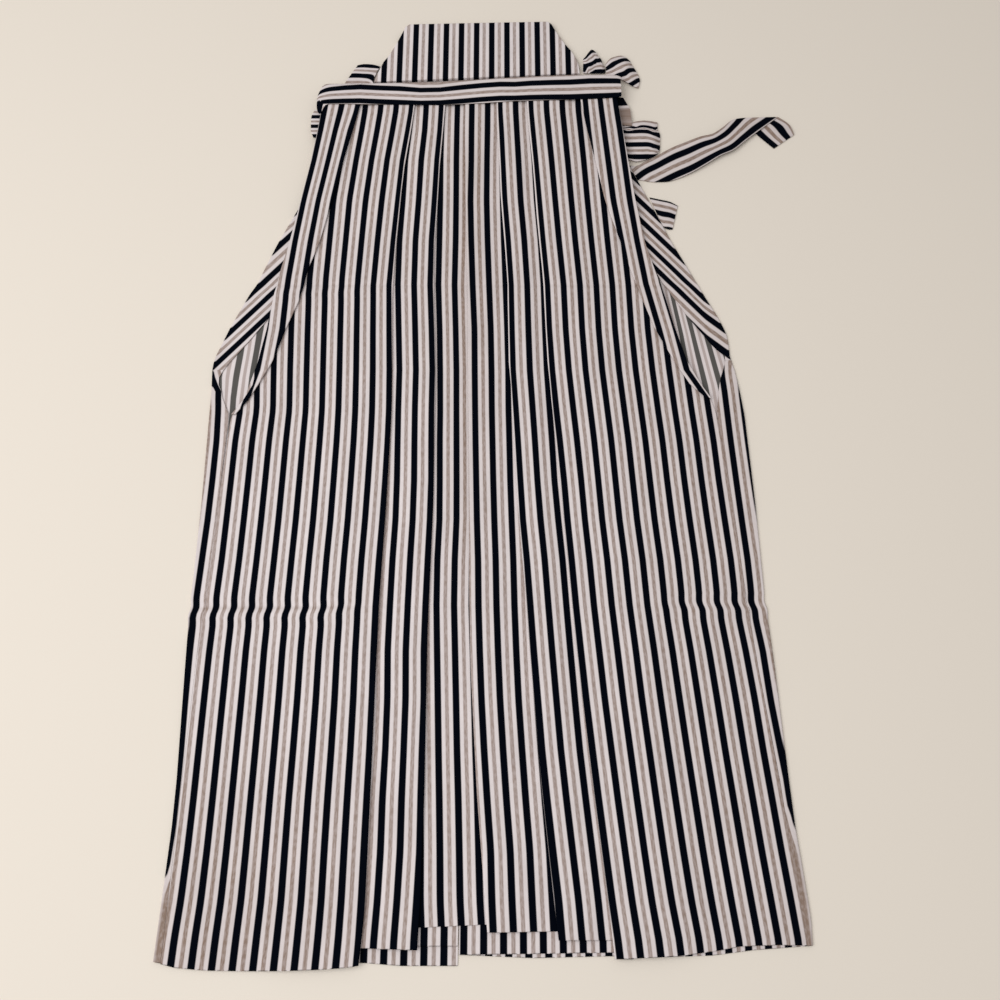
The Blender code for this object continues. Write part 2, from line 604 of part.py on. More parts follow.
def tie_row(x_a, y_a, x_b, y_b, z, across):
    """Points straight across a tie; z is the height of its middle line at each."""
    heights = z if isinstance(z, list) else [z] * across
    row = []
    for step in range(across):
        t = step / (across - 1)
        row.append(place(x_a + (x_b - x_a) * t, y_a + (y_b - y_a) * t, heights[step]))
    return row


def doubled_rows(table):
    """A tie laid back on itself: out along the table, round, and home above with a bulge along its middle."""
    rows = [tie_row(*entry[:5], DOUBLED_TIE_POINTS) for entry in table]
    x_a, y_a, x_b, y_b, z, unused_bulge = table[-1]
    width = math.hypot(x_b - x_a, y_b - y_a)
    out_x = (y_b - y_a) / width
    out_y = (x_a - x_b) / width
    if out_x * (x_a - table[-2][0]) + out_y * (y_a - table[-2][1]) < 0:
        out_x, out_y = -out_x, -out_y
    for step in range(1, FOLD_STEPS):
        angle = math.pi * step / FOLD_STEPS
        reach = PITCH / 2 * WIDE_FOLD * math.sin(angle)
        rise = PITCH / 2 * (1 - math.cos(angle))
        ends = (x_a + out_x * reach, y_a + out_y * reach, x_b + out_x * reach, y_b + out_y * reach)
        rows.append(tie_row(*ends, z + rise, DOUBLED_TIE_POINTS))
    for x_a, y_a, x_b, y_b, z, bulge in reversed(table):
        edge = z + PITCH
        middle = max(bulge, edge)
        steps = range(DOUBLED_TIE_POINTS)
        shares = [math.sin(math.pi * step / (DOUBLED_TIE_POINTS - 1)) for step in steps]
        heights = [edge + (middle - edge) * share for share in shares]
        rows.append(tie_row(x_a, y_a, x_b, y_b, heights, DOUBLED_TIE_POINTS))
    return rows


def add_ties():
    doubled = (("tie_back_left", BACK_TIE_LEFT), ("tie_loop_inner", RIGHT_LOOP_INNER),
               ("tie_loop_outer", RIGHT_LOOP_OUTER), ("tie_loop_lower", RIGHT_LOOP_LOWER))
    for name, table in doubled:
        loft(name, doubled_rows(table), TIE_COLOUR)
    single = (("tie_patch", RIGHT_PATCH), ("tie_free", FREE_TIE), ("tie_free_end", FREE_TIE_END),
              ("tie_end_low", LOW_TIE_END))
    for name, table in single:
        loft(name, [tie_row(*entry, SINGLE_TIE_POINTS) for entry in table], TIE_COLOUR)


def clear_scene():
    for item in list(bpy.data.objects):
        bpy.data.objects.remove(item, do_unlink=True)


def main():
    clear_scene()
    collection = bpy.data.collections.new(COLLECTION_NAME)
    bpy.context.scene.collection.children.link(collection)
    add_backs()
    add_gussets()
    add_fronts()
    add_side_pleats()
    add_band()
    add_board()
    add_folded_ties()
    add_left_tie_fold()
    add_ties()
    bpy.context.view_layer.update()


main()
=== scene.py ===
"""Hakama trousers laid flat with the front up: the striped cloth, its folds and ties, and a plain studio.

Tables give places in millimetres on the ground as sighted from above the hem: x to the right, height from
the hem to the waist. place() turns a place and the height of the cloth there into metres in the frame.
"""
import math

import bpy
import numpy as np
from bpy.props import FloatProperty, FloatVectorProperty, PointerProperty
from bpy.types import Operator, Panel, PropertyGroup
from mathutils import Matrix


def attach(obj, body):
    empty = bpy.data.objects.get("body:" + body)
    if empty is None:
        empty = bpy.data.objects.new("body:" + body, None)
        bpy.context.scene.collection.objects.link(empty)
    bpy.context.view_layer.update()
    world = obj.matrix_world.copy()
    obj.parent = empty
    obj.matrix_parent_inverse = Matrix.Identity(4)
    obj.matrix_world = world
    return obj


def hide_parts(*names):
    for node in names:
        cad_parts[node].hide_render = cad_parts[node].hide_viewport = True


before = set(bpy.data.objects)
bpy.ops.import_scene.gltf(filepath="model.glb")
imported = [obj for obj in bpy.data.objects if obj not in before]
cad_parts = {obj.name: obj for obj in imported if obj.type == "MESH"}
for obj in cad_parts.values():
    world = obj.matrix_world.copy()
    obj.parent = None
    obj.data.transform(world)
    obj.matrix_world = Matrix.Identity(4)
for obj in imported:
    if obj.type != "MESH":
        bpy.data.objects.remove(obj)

bl_info = {
    "name": "Hakama Trousers",
    "version": (1, 0, 0),
    "blender": (4, 5, 0),
    "location": "View3D > Sidebar > Hakama",
    "description": "Striped pleated trousers laid flat, with waistband, board and ties",
    "category": "Object",
}

MM = 0.001
STRIPE_SPACING = 16.8    # from one dark stripe to the next
STRIPE_MIDDLE = 0.165    # the middle of a dark stripe, as a share of the spacing from where it begins

# ---------------------------------------------------------------- layers and rows (millimetres)
WALL = 1.0               # room that one layer of cloth takes
GAP = 0.3
PITCH = WALL + GAP       # from one layer to the next
FOLD_STEPS = 8           # steps round a fold
FOLD_ROOM = 2 * WALL     # a layer ends this far short of its fold
PANEL_ROOM = 3 * WALL    # and the top layer of a panel this far
GROUND_LAYER = WALL / 2
WRAP_LAYER = GROUND_LAYER + PITCH
PLEAT_LEVELS = 2         # levels that a pleat lies above the panel under it
ROW_SPACING = 8
FOOT_ROWS = (-0.1, 0.1)  # rows on both sides of an opening's foot, where the stripes change direction
HEM_ZONE = 48            # above the hems, rows are level from this height
HEM_STEPS = (0, 0.02, 0.17, 0.33, 0.5, 0.67, 0.83)      # rows between the hem and HEM_ZONE
HEM_LINE = 0.9           # width of the brown line along a hem
HEM_FACING = 0.7         # a rim that faces the foot at least this much is a hem
SMOOTH_ANGLE = 50        # degrees between two faces that still look like one surface
# How many points a section has along each layer.
OUTER_PANEL_POINTS = 48
INNER_PANEL_POINTS = 16
CENTRE_PANEL_POINTS = 14
CENTRE_UNDER_POINTS = 4
UNDERLAP_POINTS = 6
SIDE_PLEAT_POINTS = 10
BACK_POINTS = 44
WRAP_POINTS = 12
GUSSET_POINTS = 24
BAND_POINTS = 8

# ---------------------------------------------------------------- where the cloth lies higher
WAIST_RISE = 6.1
WAIST_RISE_FROM = 700
WAIST_RISE_TO = 800
SIDE_DROP_LEFT = (-205, -135)       # between these the fronts come down to the backs at their sides
SIDE_DROP_RIGHT = (125, 190)
SIDE_DROP_TOP = (500, 590)
CROSS_CREASE_HEIGHTS = (307, 650)
CROSS_CREASE_RISE = 1.2             # the cloth swells this much towards a crease across it
CROSS_CREASE_REACH = 20
CROSS_CREASE_DEPTH = 1.0            # and dips this much in the crease
CROSS_CREASE_WIDTH = 2.0
CROSS_CREASE_ROWS = (-20, -16, -12, -8, -5, -3, -1.5, 0, 1.5, 3, 5, 8, 12)
CROSS_CREASE_SHIFTS = (2.2, 0.6)    # how far the cloth steps sideways at each crease, out towards each side
LEFT_SHIFT = 1.1                    # the left leg steps this many times as far as the right one
LEFT_SHIFT_LOWER = 6                # and this much lower down
LEFT_SHIFT_ENDS = (-175, -115)
RIGHT_SHIFT_STARTS = (135, 190)
SHIFT_REACH = 7

# ---------------------------------------------------------------- fronts
OUTER_UNDERLAP = 0.28    # how far the outer pleats run back under their panels, as a share of its width
INNER_UNDERLAP = 0.42
OUTER_RISE_FROM = 0.42   # an outer panel starts to climb over its pleat after this share of its width
UNDERLAP_START = 0.3     # the layer inside a pleat is counted from this share of its underlap
CENTRE_UNDERLAP = 7      # how far panel D turns back under itself
CENTRE_TUCK = 3.5        # how far panel C reaches under panel D
SEAM_REACH = 0.3
FRONT_TOP = 903
FRONT_COLUMNS = ("height", "left_edge", "fold_1", "fold_2", "fold_3", "fold_4", "fold_5", "right_edge")
FRONT_SECTIONS = (
    (-5, -283, -118.5, -70.5, -8, 52, 97, 258.5),
    (0, -283, -118, -70, -8.5, 51.5, 96.5, 258),
    (45, -282, -114.5, -68, -12.5, 46.5, 92.5, 255),
    (140, -280.5, -114, -66.5, -20.5, 37, 82.5, 247.5),
    (250, -278.5, -113.5, -67, -27, 28.5, 72, 236),
    (285, -277, -113, -67, -28, 26, 69, 233),
    (307, -276, -113, -66.5, -28.5, 24.5, 67.5, 231),
    (330, -275, -112.5, -66, -29, 23, 66, 229.5),
    (410, -272.5, -110, -64.5, -30, 17, 60, 225),
    (501, -268, -108.5, -65, -31.5, 12.5, 53, 216),
    (519, -256.5, -108.5, -65, -32, 11.5, 51.5, 211),
    (535, -252.5, -109, -65, -32, 11, 50.5, 201),
    (560, -246.3, -109.5, -65.5, -32.5, 9, 48.5, 189),
    (600, -239, -111, -67, -33, 8.5, 47, 178),
    (632, -233.5, -112, -68.5, -33.5, 8, 46, 170),
    (650, -231, -112, -69, -34, 8, 45.5, 165.5),
    (668, -228, -111.5, -69.5, -34.5, 7, 44.5, 161),
    (700, -222.5, -110.5, -69.5, -35.5, 5, 42, 152.5),
    (735, -216.5, -108.5, -68, -36.5, 2.5, 39.5, 147.5),
    (765, -212, -107, -67, -37.5, 0.5, 38, 143.5),
    (800, -206.5, -104.5, -66, -38, -0.5, 36, 139.5),
    (850, -200.5, -98.5, -63, -39, -3, 32, 134.5),
    (903, -195.5, -93.5, -60, -39.5, -4.5, 29, 128.5),
)
# How high the hems lie: (x, height) along the outer panels, (start, end) for the others.
LEFT_HEM = (
    (-290, 3), (-271, -1.5), (-246, -3.5), (-216, -4), (-183, -4), (-150, -3), (-129, -1.5), (-118, 0),
)
RIGHT_HEM = (
    (97, 5), (134, 6.5), (155, 8), (186, 12), (203, 15), (235, 16), (262, 15.5),
)
PANEL_B_HEM = (13.5, 12)
PANEL_C_HEM = (29.5, 32)
PANEL_D_HEM = (25.5, 26.5)
PANEL_E_HEM = 19.5

# Left sides of dark stripes on each panel; each column's count of stripes is in PANEL_STRIPES.
STRIPE_COLUMNS = (
    "height", "a9", "a3", "a0", "b1", "b0", "c1", "c2", "d0", "d1", "e0", "e1", "f0", "f3", "f9",
)
STRIPE_LINES = (
    (-5, -277.5, -174.2, -122.7, -92.3, -75.3, -50.5, -33.5, -6.8, 10.2, 50.8, 67.6, 98.8, 150.0, 248.4),
    (20, -276.4, -173.0, -121.4, -91.8, -75.0, -51.5, -34.5, -8.0, 9.0, 49.7, 66.5, 96.5, 148.0, 247.9),
    (51, -274.1, -171.8, -120.6, -90.2, -73.5, -53.5, -36.6, -9.6, 7.5, 47.5, 64.2, 92.8, 143.2, 244.7),
    (91, -272.5, -171.6, -120.2, -88.9, -72.0, -54.5, -37.8, -10.7, 6.2, 43.1, 60.0, 88.6, 138.7, 240.3),
    (133, -271.6, -171.2, -119.6, -89.0, -72.2, -55.9, -39.2, -13.9, 3.0, 38.8, 55.7, 84.1, 134.5, 236.2),
    (175, -271.2, -170.2, -119.0, -88.4, -72.1, -57.4, -40.9, -16.8, 0.1, 34.9, 51.7, 79.9, 130.4, 232.0),
    (220, -270.7, -169.4, -118.7, -88.1, -71.6, -58.9, -42.4, -19.4, -2.6, 31.8, 48.5, 75.6, 126.0, 228.2),
    (265, -270.1, -169.4, -119.0, -89.3, -72.7, -60.5, -44.0, -21.3, -4.5, 28.5, 45.3, 71.8, 122.4, 223.5),
    (307, -268.7, -168.3, -118.8, -88.8, -72.2, -61.9, -45.5, -22.7, -5.9, 25.8, 42.6, 68.5, 118.6, 218.1),
    (351, -266.7, -167.3, -117.5, -87.9, -71.2, -62.0, -45.5, -23.4, -6.7, 22.9, 39.8, 65.5, 116.0, 216.5),
    (391, -265.8, -165.7, -115.8, -86.6, -70.1, -60.8, -44.4, -24.8, -8.1, 19.4, 36.4, 62.5, 112.4, 213.6),
    (432, -265.0, -164.9, -114.6, -86.4, -69.7, -61.3, -44.9, -25.8, -9.2, 17.3, 33.9, 59.9, 110.0, 210.8),
    (474, -264.4, -164.2, -113.8, -87.2, -70.6, -62.1, -45.6, -26.8, -10.1, 15.1, 31.9, 56.6, 107.5, 208.6),
    (507, -262.3, -164.2, -113.7, -87.7, -71.1, -62.3, -46.1, -27.5, -10.8, 13.2, 30.1, 53.7, 104.8, 205.9),
    (551, -265.6, -165.5, -114.8, -87.9, -71.2, -63.3, -46.8, -28.3, -11.3, 10.4, 27.6, 50.4, 101.1, 203.0),
    (597, -268.2, -167.0, -116.7, -90.0, -73.1, -64.7, -48.2, -28.9, -12.1, 9.5, 26.6, 48.1, 99.0, 200.2),
    (650, -270.6, -168.6, -118.6, -92.6, -75.7, -67.1, -50.2, -31.3, -14.1, 8.8, 25.8, 46.8, 98.2, 199.0),
    (705, -270.0, -166.9, -116.1, -92.6, -75.6, -67.2, -49.9, -33.3, -16.0, 5.8, 23.1, 42.8, 94.6, 197.0),
    (755, -269.0, -165.5, -113.1, -90.6, -73.5, -67.2, -50.1, -34.6, -17.2, 2.3, 19.6, 39.6, 91.8, 195.6),
    (807, -262.0, -160.7, -109.8, -89.2, -71.8, -67.8, -50.6, -34.2, -17.0, 0.1, 17.6, 36.3, 89.2, 194.0),
    (847, -259.0, -156.4, -105.0, -86.3, -69.3, -67.6, -50.6, -34.4, -16.7, -1.4, 15.9, 33.5, 86.8, 193.0),
    (875, -256.0, -153.8, -101.9, -85.5, -68.4, -67.4, -50.4, -34.3, -16.6, -3.0, 14.7, 31.6, 85.0, 191.5),
)
# The count of each named stripe along its own front, so the hidden cloth between panels keeps its width.
PANEL_STRIPES = {
    "a": (("a9", -9), ("a3", -3), ("a0", 0)),
    "b": (("b1", 7), ("b0", 8)),
    "c": (("c1", 11), ("c2", 12)),
    "d": (("d0", -13), ("d1", -12)),
    "e": (("e0", -8), ("e1", -7)),
    "f": (("f0", 0), ("f3", 3), ("f9", 9)),
}

# ---------------------------------------------------------------- side pleats
SIDE_PLEAT_TIP = 4       # least width of a side pleat
SIDE_PLEAT_COLUMNS = ("height", "outer", "inner")
LEFT_SIDE_PLEAT = (
    (502, -268.5, -264.5), (519, -257, -252), (535, -249.5, -244), (560, -246.5, -232), (600, -240, -220),
    (632, -236.5, -209), (650, -234, -205.5), (668, -231, -202.5), (700, -224.5, -192.5),
    (755, -215.5, -181.5), (800, -208.5, -173.5), (850, -202.5, -163), (885, -199.5, -156.5),
    (903, -198, -153),
)
RIGHT_SIDE_PLEAT = (
    (520, 212, 207.5), (535, 203, 192), (560, 191, 178), (600, 180, 159), (632, 173, 148.5),
    (650, 168, 143), (668, 163, 137.5), (700, 154.5, 129), (755, 146.5, 113.5), (800, 141.5, 106),
    (850, 136.5, 96.5), (885, 132.5, 91), (903, 130.5, 89),
)
SIDE_STRIPE_COLUMNS = ("height", "low", "middle", "high")
LEFT_SIDE_STRIPES = (
    (500, -262, -245, -228), (519, -257, -240, -223), (551, -248.9, -232.0, -215.0),
    (597, -244.4, -227.0, -210.0), (650, -242.3, -225.4, -208.5), (705, -236.7, -220.5, -204.3),
    (755, -230.2, -214.6, -199.0), (807, -222.0, -206.7, -191.2), (847, -218.5, -202.0, -185.6),
    (875, -217.5, -199.6, -181.3), (903, -215.0, -197.0, -178.5),
)
RIGHT_SIDE_STRIPES = (
    (500, 182.0, 199.0, 216.0), (551, 153.0, 170.0, 186.9), (597, 144.5, 161.5, 178.5),
    (650, 133.5, 150.4, 167.5), (705, 126.9, 143.1, 160.0), (755, 119.9, 137.6, 155.0),
    (807, 116.1, 133.7, 151.2), (847, 113.1, 130.6, 148.0), (875, 111.0, 128.0, 145.0),
    (903, 109.3, 126.0, 143.0),
)

# ---------------------------------------------------------------- backs
BACK_TOP_LEFT = 909.9
BACK_TOP_RIGHT = 921.9
CENTRE_SEAM_HEM = -35    # where the centre seam lies at the hem and at the top
CENTRE_SEAM_TOP = -24.5
CENTRE_SEAM_GAP = 0.4
WRAP_START = 1.8 * WALL  # the turned-in cloth starts this far in from the outline
BACK_COLUMNS = ("height", "outline", "wrap")
LEFT_BACK = (
    (0, -289.8, -283.5), (45, -288, -282.5), (110, -285.6, -281.5), (150, -285.6, -280.8),
    (250, -288.5, -279), (307, -290, -276.5), (330, -289.5, -275.5), (410, -289, -273),
    (501, -290.3, -270.5), (519, -290.5, -278.8), (530, -290.8, -281.2), (538, -291.2, -286),
    (547, -291.9, -283), (556, -292, -277.8), (567, -289.7, -269.8), (582, -284.2, -258.8),
    (600, -277.8, -246.5), (632, -264, -224), (652, -254, -213.5), (700, -236.5, -189), (765, -208, -160.5),
    (850, -171, -123.5), (909.9, -144.5, -97),
)
RIGHT_BACK = (
    (0, 262, 258.7), (33, 263, 256.2), (45, 262.5, 255.5), (80, 259.6, 252.5), (110, 257, 250.3),
    (150, 255.1, 247.2), (250, 251.5, 236.5), (307, 248.5, 231.5), (330, 248, 230), (410, 247, 225.5),
    (501, 244.1, 216.5), (526, 241.6, 220), (540, 239.7, 222.5), (549, 238.6, 225.7), (558, 236.3, 229),
    (567, 234.3, 229.5), (578, 234.3, 217.5), (590, 233.3, 209.8), (603, 229, 200.5), (617, 222.9, 191.5),
    (636, 213.3, 180), (652, 206.2, 170.5), (700, 183.5, 148), (765, 156.5, 121), (850, 120, 84.5),
    (921.9, 88.5, 52.5),
)
LEFT_BACK_HEM = (
    (-290, 3), (-271, 0), (-246, -2), (-150, -1.5), (-116, 2.5), (-83, 0), (-36, 0),
)
RIGHT_BACK_HEM = (
    (-34, 8.5), (28, 6), (94, 7.5), (117, 6), (178, 8), (211, 12), (262, 15.5),
)
# Middles of dark stripes on the ground layer near each side.
BACK_STRIPE_COLUMNS = ("height", "first", "second", "third")
LEFT_BACK_STRIPES = (
    (0, -290, -273, -256), (250, -286.5, -270, -253.4), (480, -282.5, -266.5, -250),
    (518, -281.5, -268, -251), (545, -284.8, -266.5, -250.8), (573, -282, -264.2, -248.5),
    (603, -280, -264.4, -246.2), (693, -273, -257, -239.2), (900, -258, -241, -223),
)
RIGHT_BACK_STRIPES = (
    (0, 246, 229, 212), (474, 227.6, 210.8, 194), (531, 222.5, 207.5, 192), (592, 211.5, 197.7, 186.2),
    (632, 204, 191.2, 180.2), (700, 192, 180.5, 170), (900, 160, 143, 126),
)
# Inner side of the dark stripe on the cloth wrapped round from the back, below the openings, and how closely
# the stripes follow each other there.
LIP_COLUMNS = ("height", "line", "scale")
LEFT_LIP_STRIPE = (
    (0, -296.8, 0.5), (51, -294.3, 0.5), (75, -284.3, 1), (108, -282.1, 1), (150, -281.7, 1),
    (175, -281.8, 1), (219, -282.6, 1), (265, -282.9, 1), (307, -282.1, 1), (351, -280.3, 1),
    (391, -278.7, 1), (432, -278, 1), (474, -277.8, 1), (507, -279.2, 1), (518, -280.3, 1),
    (529, -281.1, 1), (535, -285.4, 1), (540, -287.6, 1), (547, -290.4, 1), (551, -291.2, 1),
)
RIGHT_LIP_STRIPE = (
    (0, 265.1, 1), (51, 268.1, 0.52), (91, 262.6, 0.65), (108, 256.4, 0.9), (118, 254.8, 1),
    (129, 251.8, 1), (150, 250.5, 1), (175, 247.5, 1), (219, 242.6, 1), (265, 239.2, 1), (307, 233.5, 1),
    (351, 232.4, 1), (391, 230, 1), (432, 227.8, 1), (474, 225.6, 1), (507, 224.3, 1), (529, 223.4, 1),
    (546, 222.2, 1), (556, 222.4, 1), (562, 223.5, 1),
)
LEFT_LIP_COUNT = -1      # the count of those stripes
RIGHT_LIP_COUNT = -2
OPENING_FOOT_LEFT = 551
OPENING_FOOT_RIGHT = 562
# Above the openings the turned-in cloth lies on the slant: a direction across its stripes, and where the
# middles of its dark stripes come along that direction with their count.
LEFT_SLANT = (0.755, -0.656)
LEFT_SLANT_STRIPES = (
    (-651, 3.165), (-635.2, 2.165), (-615, 1.165), (-599.4, 0.165), (-583.8, -0.835), (-568, -1.835),
)
RIGHT_SLANT = (0.760, 0.649)
RIGHT_SLANT_BEND = (212, -0.2)     # right of here its stripes lie flatter
RIGHT_SLANT_STRIPES = (
    (542.1, -2.835), (559.8, -1.835), (572.5, -0.835), (588.2, 0.165), (604.2, 1.165), (620, 2.165),
    (636, 3.165),
)
BACK_BLEND = 3.5          # the stripes under the fold meet those on the wrap within this distance

# ---------------------------------------------------------------- gussets
GUSSET_TOP = 430
GUSSET_TOP_WIDTH = 12
GUSSET_EDGE_INSET = 0.5  # from the centre seam
LEFT_GUSSET_OUTER = -130
RIGHT_GUSSET_OUTER = 120
LEFT_GUSSET_HEM = (15, 15)
RIGHT_GUSSET_HEM = (8.5, 10.5)
# Where a stripe begins on a gusset, and the stripes' spacing there.
GUSSET_STRIPE_LEFT = (-66.5, 16.85)
GUSSET_STRIPE_RIGHT = (-33.0, 16.7)

# ---------------------------------------------------------------- turned-up hems
# Where a stripe begins on the backs' turned-up hems, the stripes' spacing and the count there.
BACK_HEM_STRIPE_LEFT = (-116.5, 16.75, 10.0)
BACK_HEM_STRIPE_RIGHT = (-27.6, -16.75, 16.24)
HEM_STRIPES_TO = (100, 300)     # between these heights those stripes give way to the ones higher up
HEM_TURN = 25                   # height of the turned-up hem inside the legs

# ---------------------------------------------------------------- waistband
BAND_LAYERS = 4          # layers of cloth rolled into the band
BAND_STEP = 3.6          # largest step along the band
BAND_CURL = -199         # left of here the band's end curls under; below its lower stripe it stays dark, painted shade in the curl
BAND_COLUMNS = ("x", "lower", "upper", "top_line", "low_line")
BAND_SECTIONS = (
    (-206, 881, 888.5, 893, 885), (-205.6, 877, 892, 895, 886.4), (-204.8, 873.5, 896.5, 897.8, 887.2),
    (-203.6, 870.8, 900.5, 899.8, 887.5), (-202.2, 869.3, 904.5, 901.2, 887.6),
    (-200.6, 870.5, 907.6, 902.4, 887.7), (-198.6, 876, 909.6, 903.6, 887.9),
    (-196.5, 881, 910.6, 904.5, 888.2), (-193, 882.8, 911, 905.6, 888.7), (-188, 883, 911, 906.4, 889.1),
    (-175, 883, 911, 908, 889.6), (-158, 882.7, 911.4, 909.2, 890.0), (-136, 882.3, 911.9, 907.8, 888.8),
    (-113, 882, 912.5, 906.8, 887.8), (-90, 881.7, 913.3, 904.6, 886.7), (-68, 881.5, 914, 905.1, 887.2),
    (-45, 882.5, 915.5, 908.4, 889.3), (-20, 884, 917, 911.4, 892.0), (0, 885.6, 918.7, 913.1, 893.6),
    (17, 887, 920, 912.9, 893.8), (34, 887.5, 921, 914.5, 894.7), (56, 888.3, 922.3, 915.5, 895.3),
    (79, 889, 923.3, 916.2, 895.6), (102, 890, 923.8, 917.9, 896.6), (119, 891, 923.7, 918.0, 897.3),
    (133, 892, 923, 917.7, 898.0), (137, 894, 921, 917.0, 898.5),
)

# ---------------------------------------------------------------- board
BOARD_THICKNESS = 4.5
BOARD_ROUNDING = 1        # radius of its covered edges
BOARD_ROUNDING_STEPS = 3
BOARD_SMOOTH_ANGLE = 40
MERGE_DISTANCE = 0.00002  # metres
BOARD_OUTLINE = (
    (-143, 914), (-141, 922), (-136, 935), (-133, 943), (-127, 952), (-118, 972), (-112, 987), (-110, 993),
    (-105, 997), (-30, 999), (56, 1001), (60, 997), (64, 988), (75, 968), (82, 958), (87, 948), (90, 938),
    (91, 926),
)
BOARD_STRIPE = (-12.2, 17.5)      # where a stripe begins, and the spacing

# ---------------------------------------------------------------- ties
# One row for each step along a tie: points across it, each with its stripe count.
TIE_COLUMNS = ("x", "height", "z", "count")
TIE_ACROSS = 30           # points across a tie
TIE_PIECES = 6            # steps between two rows of a table
UNDER_LOOPS = 0.7         # how high the under layer of each doubled tie lies
UNDER_BACK_TIE = 3.1
RIGHT_LOOP_INNER = (
    ((94.5, 925.7, 1.9, 0.93), (94.5, 928.2, 2.6, 0.98), (95.1, 938.6, 4.5, 1.27),
     (95.3, 944.3, 3.4, 1.98), (95.5, 945.8, 2.4, 2.1)),
    ((97.3, 925.7, 2.2, 0.9), (97.4, 927.8, 3.2, 0.97), (98.3, 938.6, 6, 1.27), (98.5, 947.5, 5, 2.12),
     (98.6, 949.8, 3, 2.3)),
    ((100.7, 925.7, 2.4, 0.45), (100.9, 930.4, 4.4, 0.7), (101.3, 937.1, 7, 1.12),
     (101.6, 944.6, 4.6, 1.6), (101.9, 952.5, 6, 2.12), (101.9, 955.3, 3.4, 2.35)),
    ((104.1, 925.7, 2.4, 0.12), (104.3, 931.1, 4.6, 0.62), (104.7, 938.1, 7.2, 1.12),
     (105, 947.5, 4.8, 1.62), (105.3, 956.8, 6.2, 2.12), (105.4, 959.1, 3.4, 2.32)),
    ((107.3, 925.7, 2.4, 0), (107.4, 927.8, 3.6, 0.12), (107.7, 933.9, 5, 0.62), (108, 940.3, 7.4, 1.12),
     (108.2, 947.8, 4.8, 1.45), (108.3, 951.1, 4.6, 1.62), (108.5, 957.1, 3.2, 2.2)),
    ((110.7, 925.7, 2.4, -0.02), (110.8, 928.2, 3.6, 0.12), (111, 934.9, 5.2, 0.62),
     (111.4, 942.9, 7.2, 1.12), (111.7, 948.2, 4.6, 1.45), (111.8, 951.2, 3, 1.64)),
    ((114.2, 925.7, 2.4, -0.02), (114.3, 928.5, 3.6, 0.12), (114.5, 935.4, 5.2, 0.62),
     (114.9, 943.5, 5.6, 1.12), (115.1, 946.2, 3, 1.27)),
    ((116.7, 925.7, 2.2, -0.02), (116.8, 928.7, 3.2, 0.12), (117, 934.6, 4.4, 0.62),
     (117.2, 937.5, 3.6, 0.8), (117.3, 938.9, 2.6, 0.92)),
    ((118.8, 926.1, 2, -0.02), (119, 929, 2, 0.12), (119.2, 931.1, 2, 0.3), (119.1, 933.2, 2, 0.5),
     (118.9, 934.9, 2, 0.7)),
)
RIGHT_LOOP_OUTER = (
    ((120.8, 923.3, 2, 1.45), (120.9, 925.4, 2.6, 1.62), (120.9, 930.4, 3.6, 2.12),
     (120.8, 935.4, 3.4, 2.4), (120.6, 938.5, 2.2, 2.65)),
    ((127.9, 921.5, 2.2, 1.3), (127.6, 927.8, 4.2, 1.62), (127.3, 935.1, 6.2, 2.12),
     (127, 942.5, 5.6, 2.42), (126.5, 946.5, 3, 2.66)),
    ((135.2, 918.4, 2.4, 0.98), (134.6, 923.3, 4, 1.2), (134, 931.5, 6, 1.62), (133.7, 940.6, 7.4, 2.12),
     (133.6, 945.6, 6, 2.42), (133.3, 949.5, 3.2, 2.66)),
    ((142.9, 913.4, 2.4, 0.5), (142.2, 924, 4.8, 1.1), (141, 935.8, 6.6, 1.62),
     (140.2, 944.2, 7.4, 2.12), (139.7, 947.6, 5.8, 2.42), (139, 950.4, 3.2, 2.66)),
    ((150, 907.8, 2.2, 0), (149.3, 916.2, 4, 0.45), (148.1, 929, 5.4, 1.1), (146.2, 937.5, 5.8, 1.62),
     (145, 944.5, 5, 2.12), (143.9, 948.1, 3, 2.45)),
    ((155.6, 905, 2, -0.35), (158, 916.2, 2, 0.12), (156.6, 922.6, 2, 0.62), (154.1, 929, 2, 1.1),
     (150.2, 937.5, 2, 1.62), (147.9, 943.5, 2, 2.15)),
)
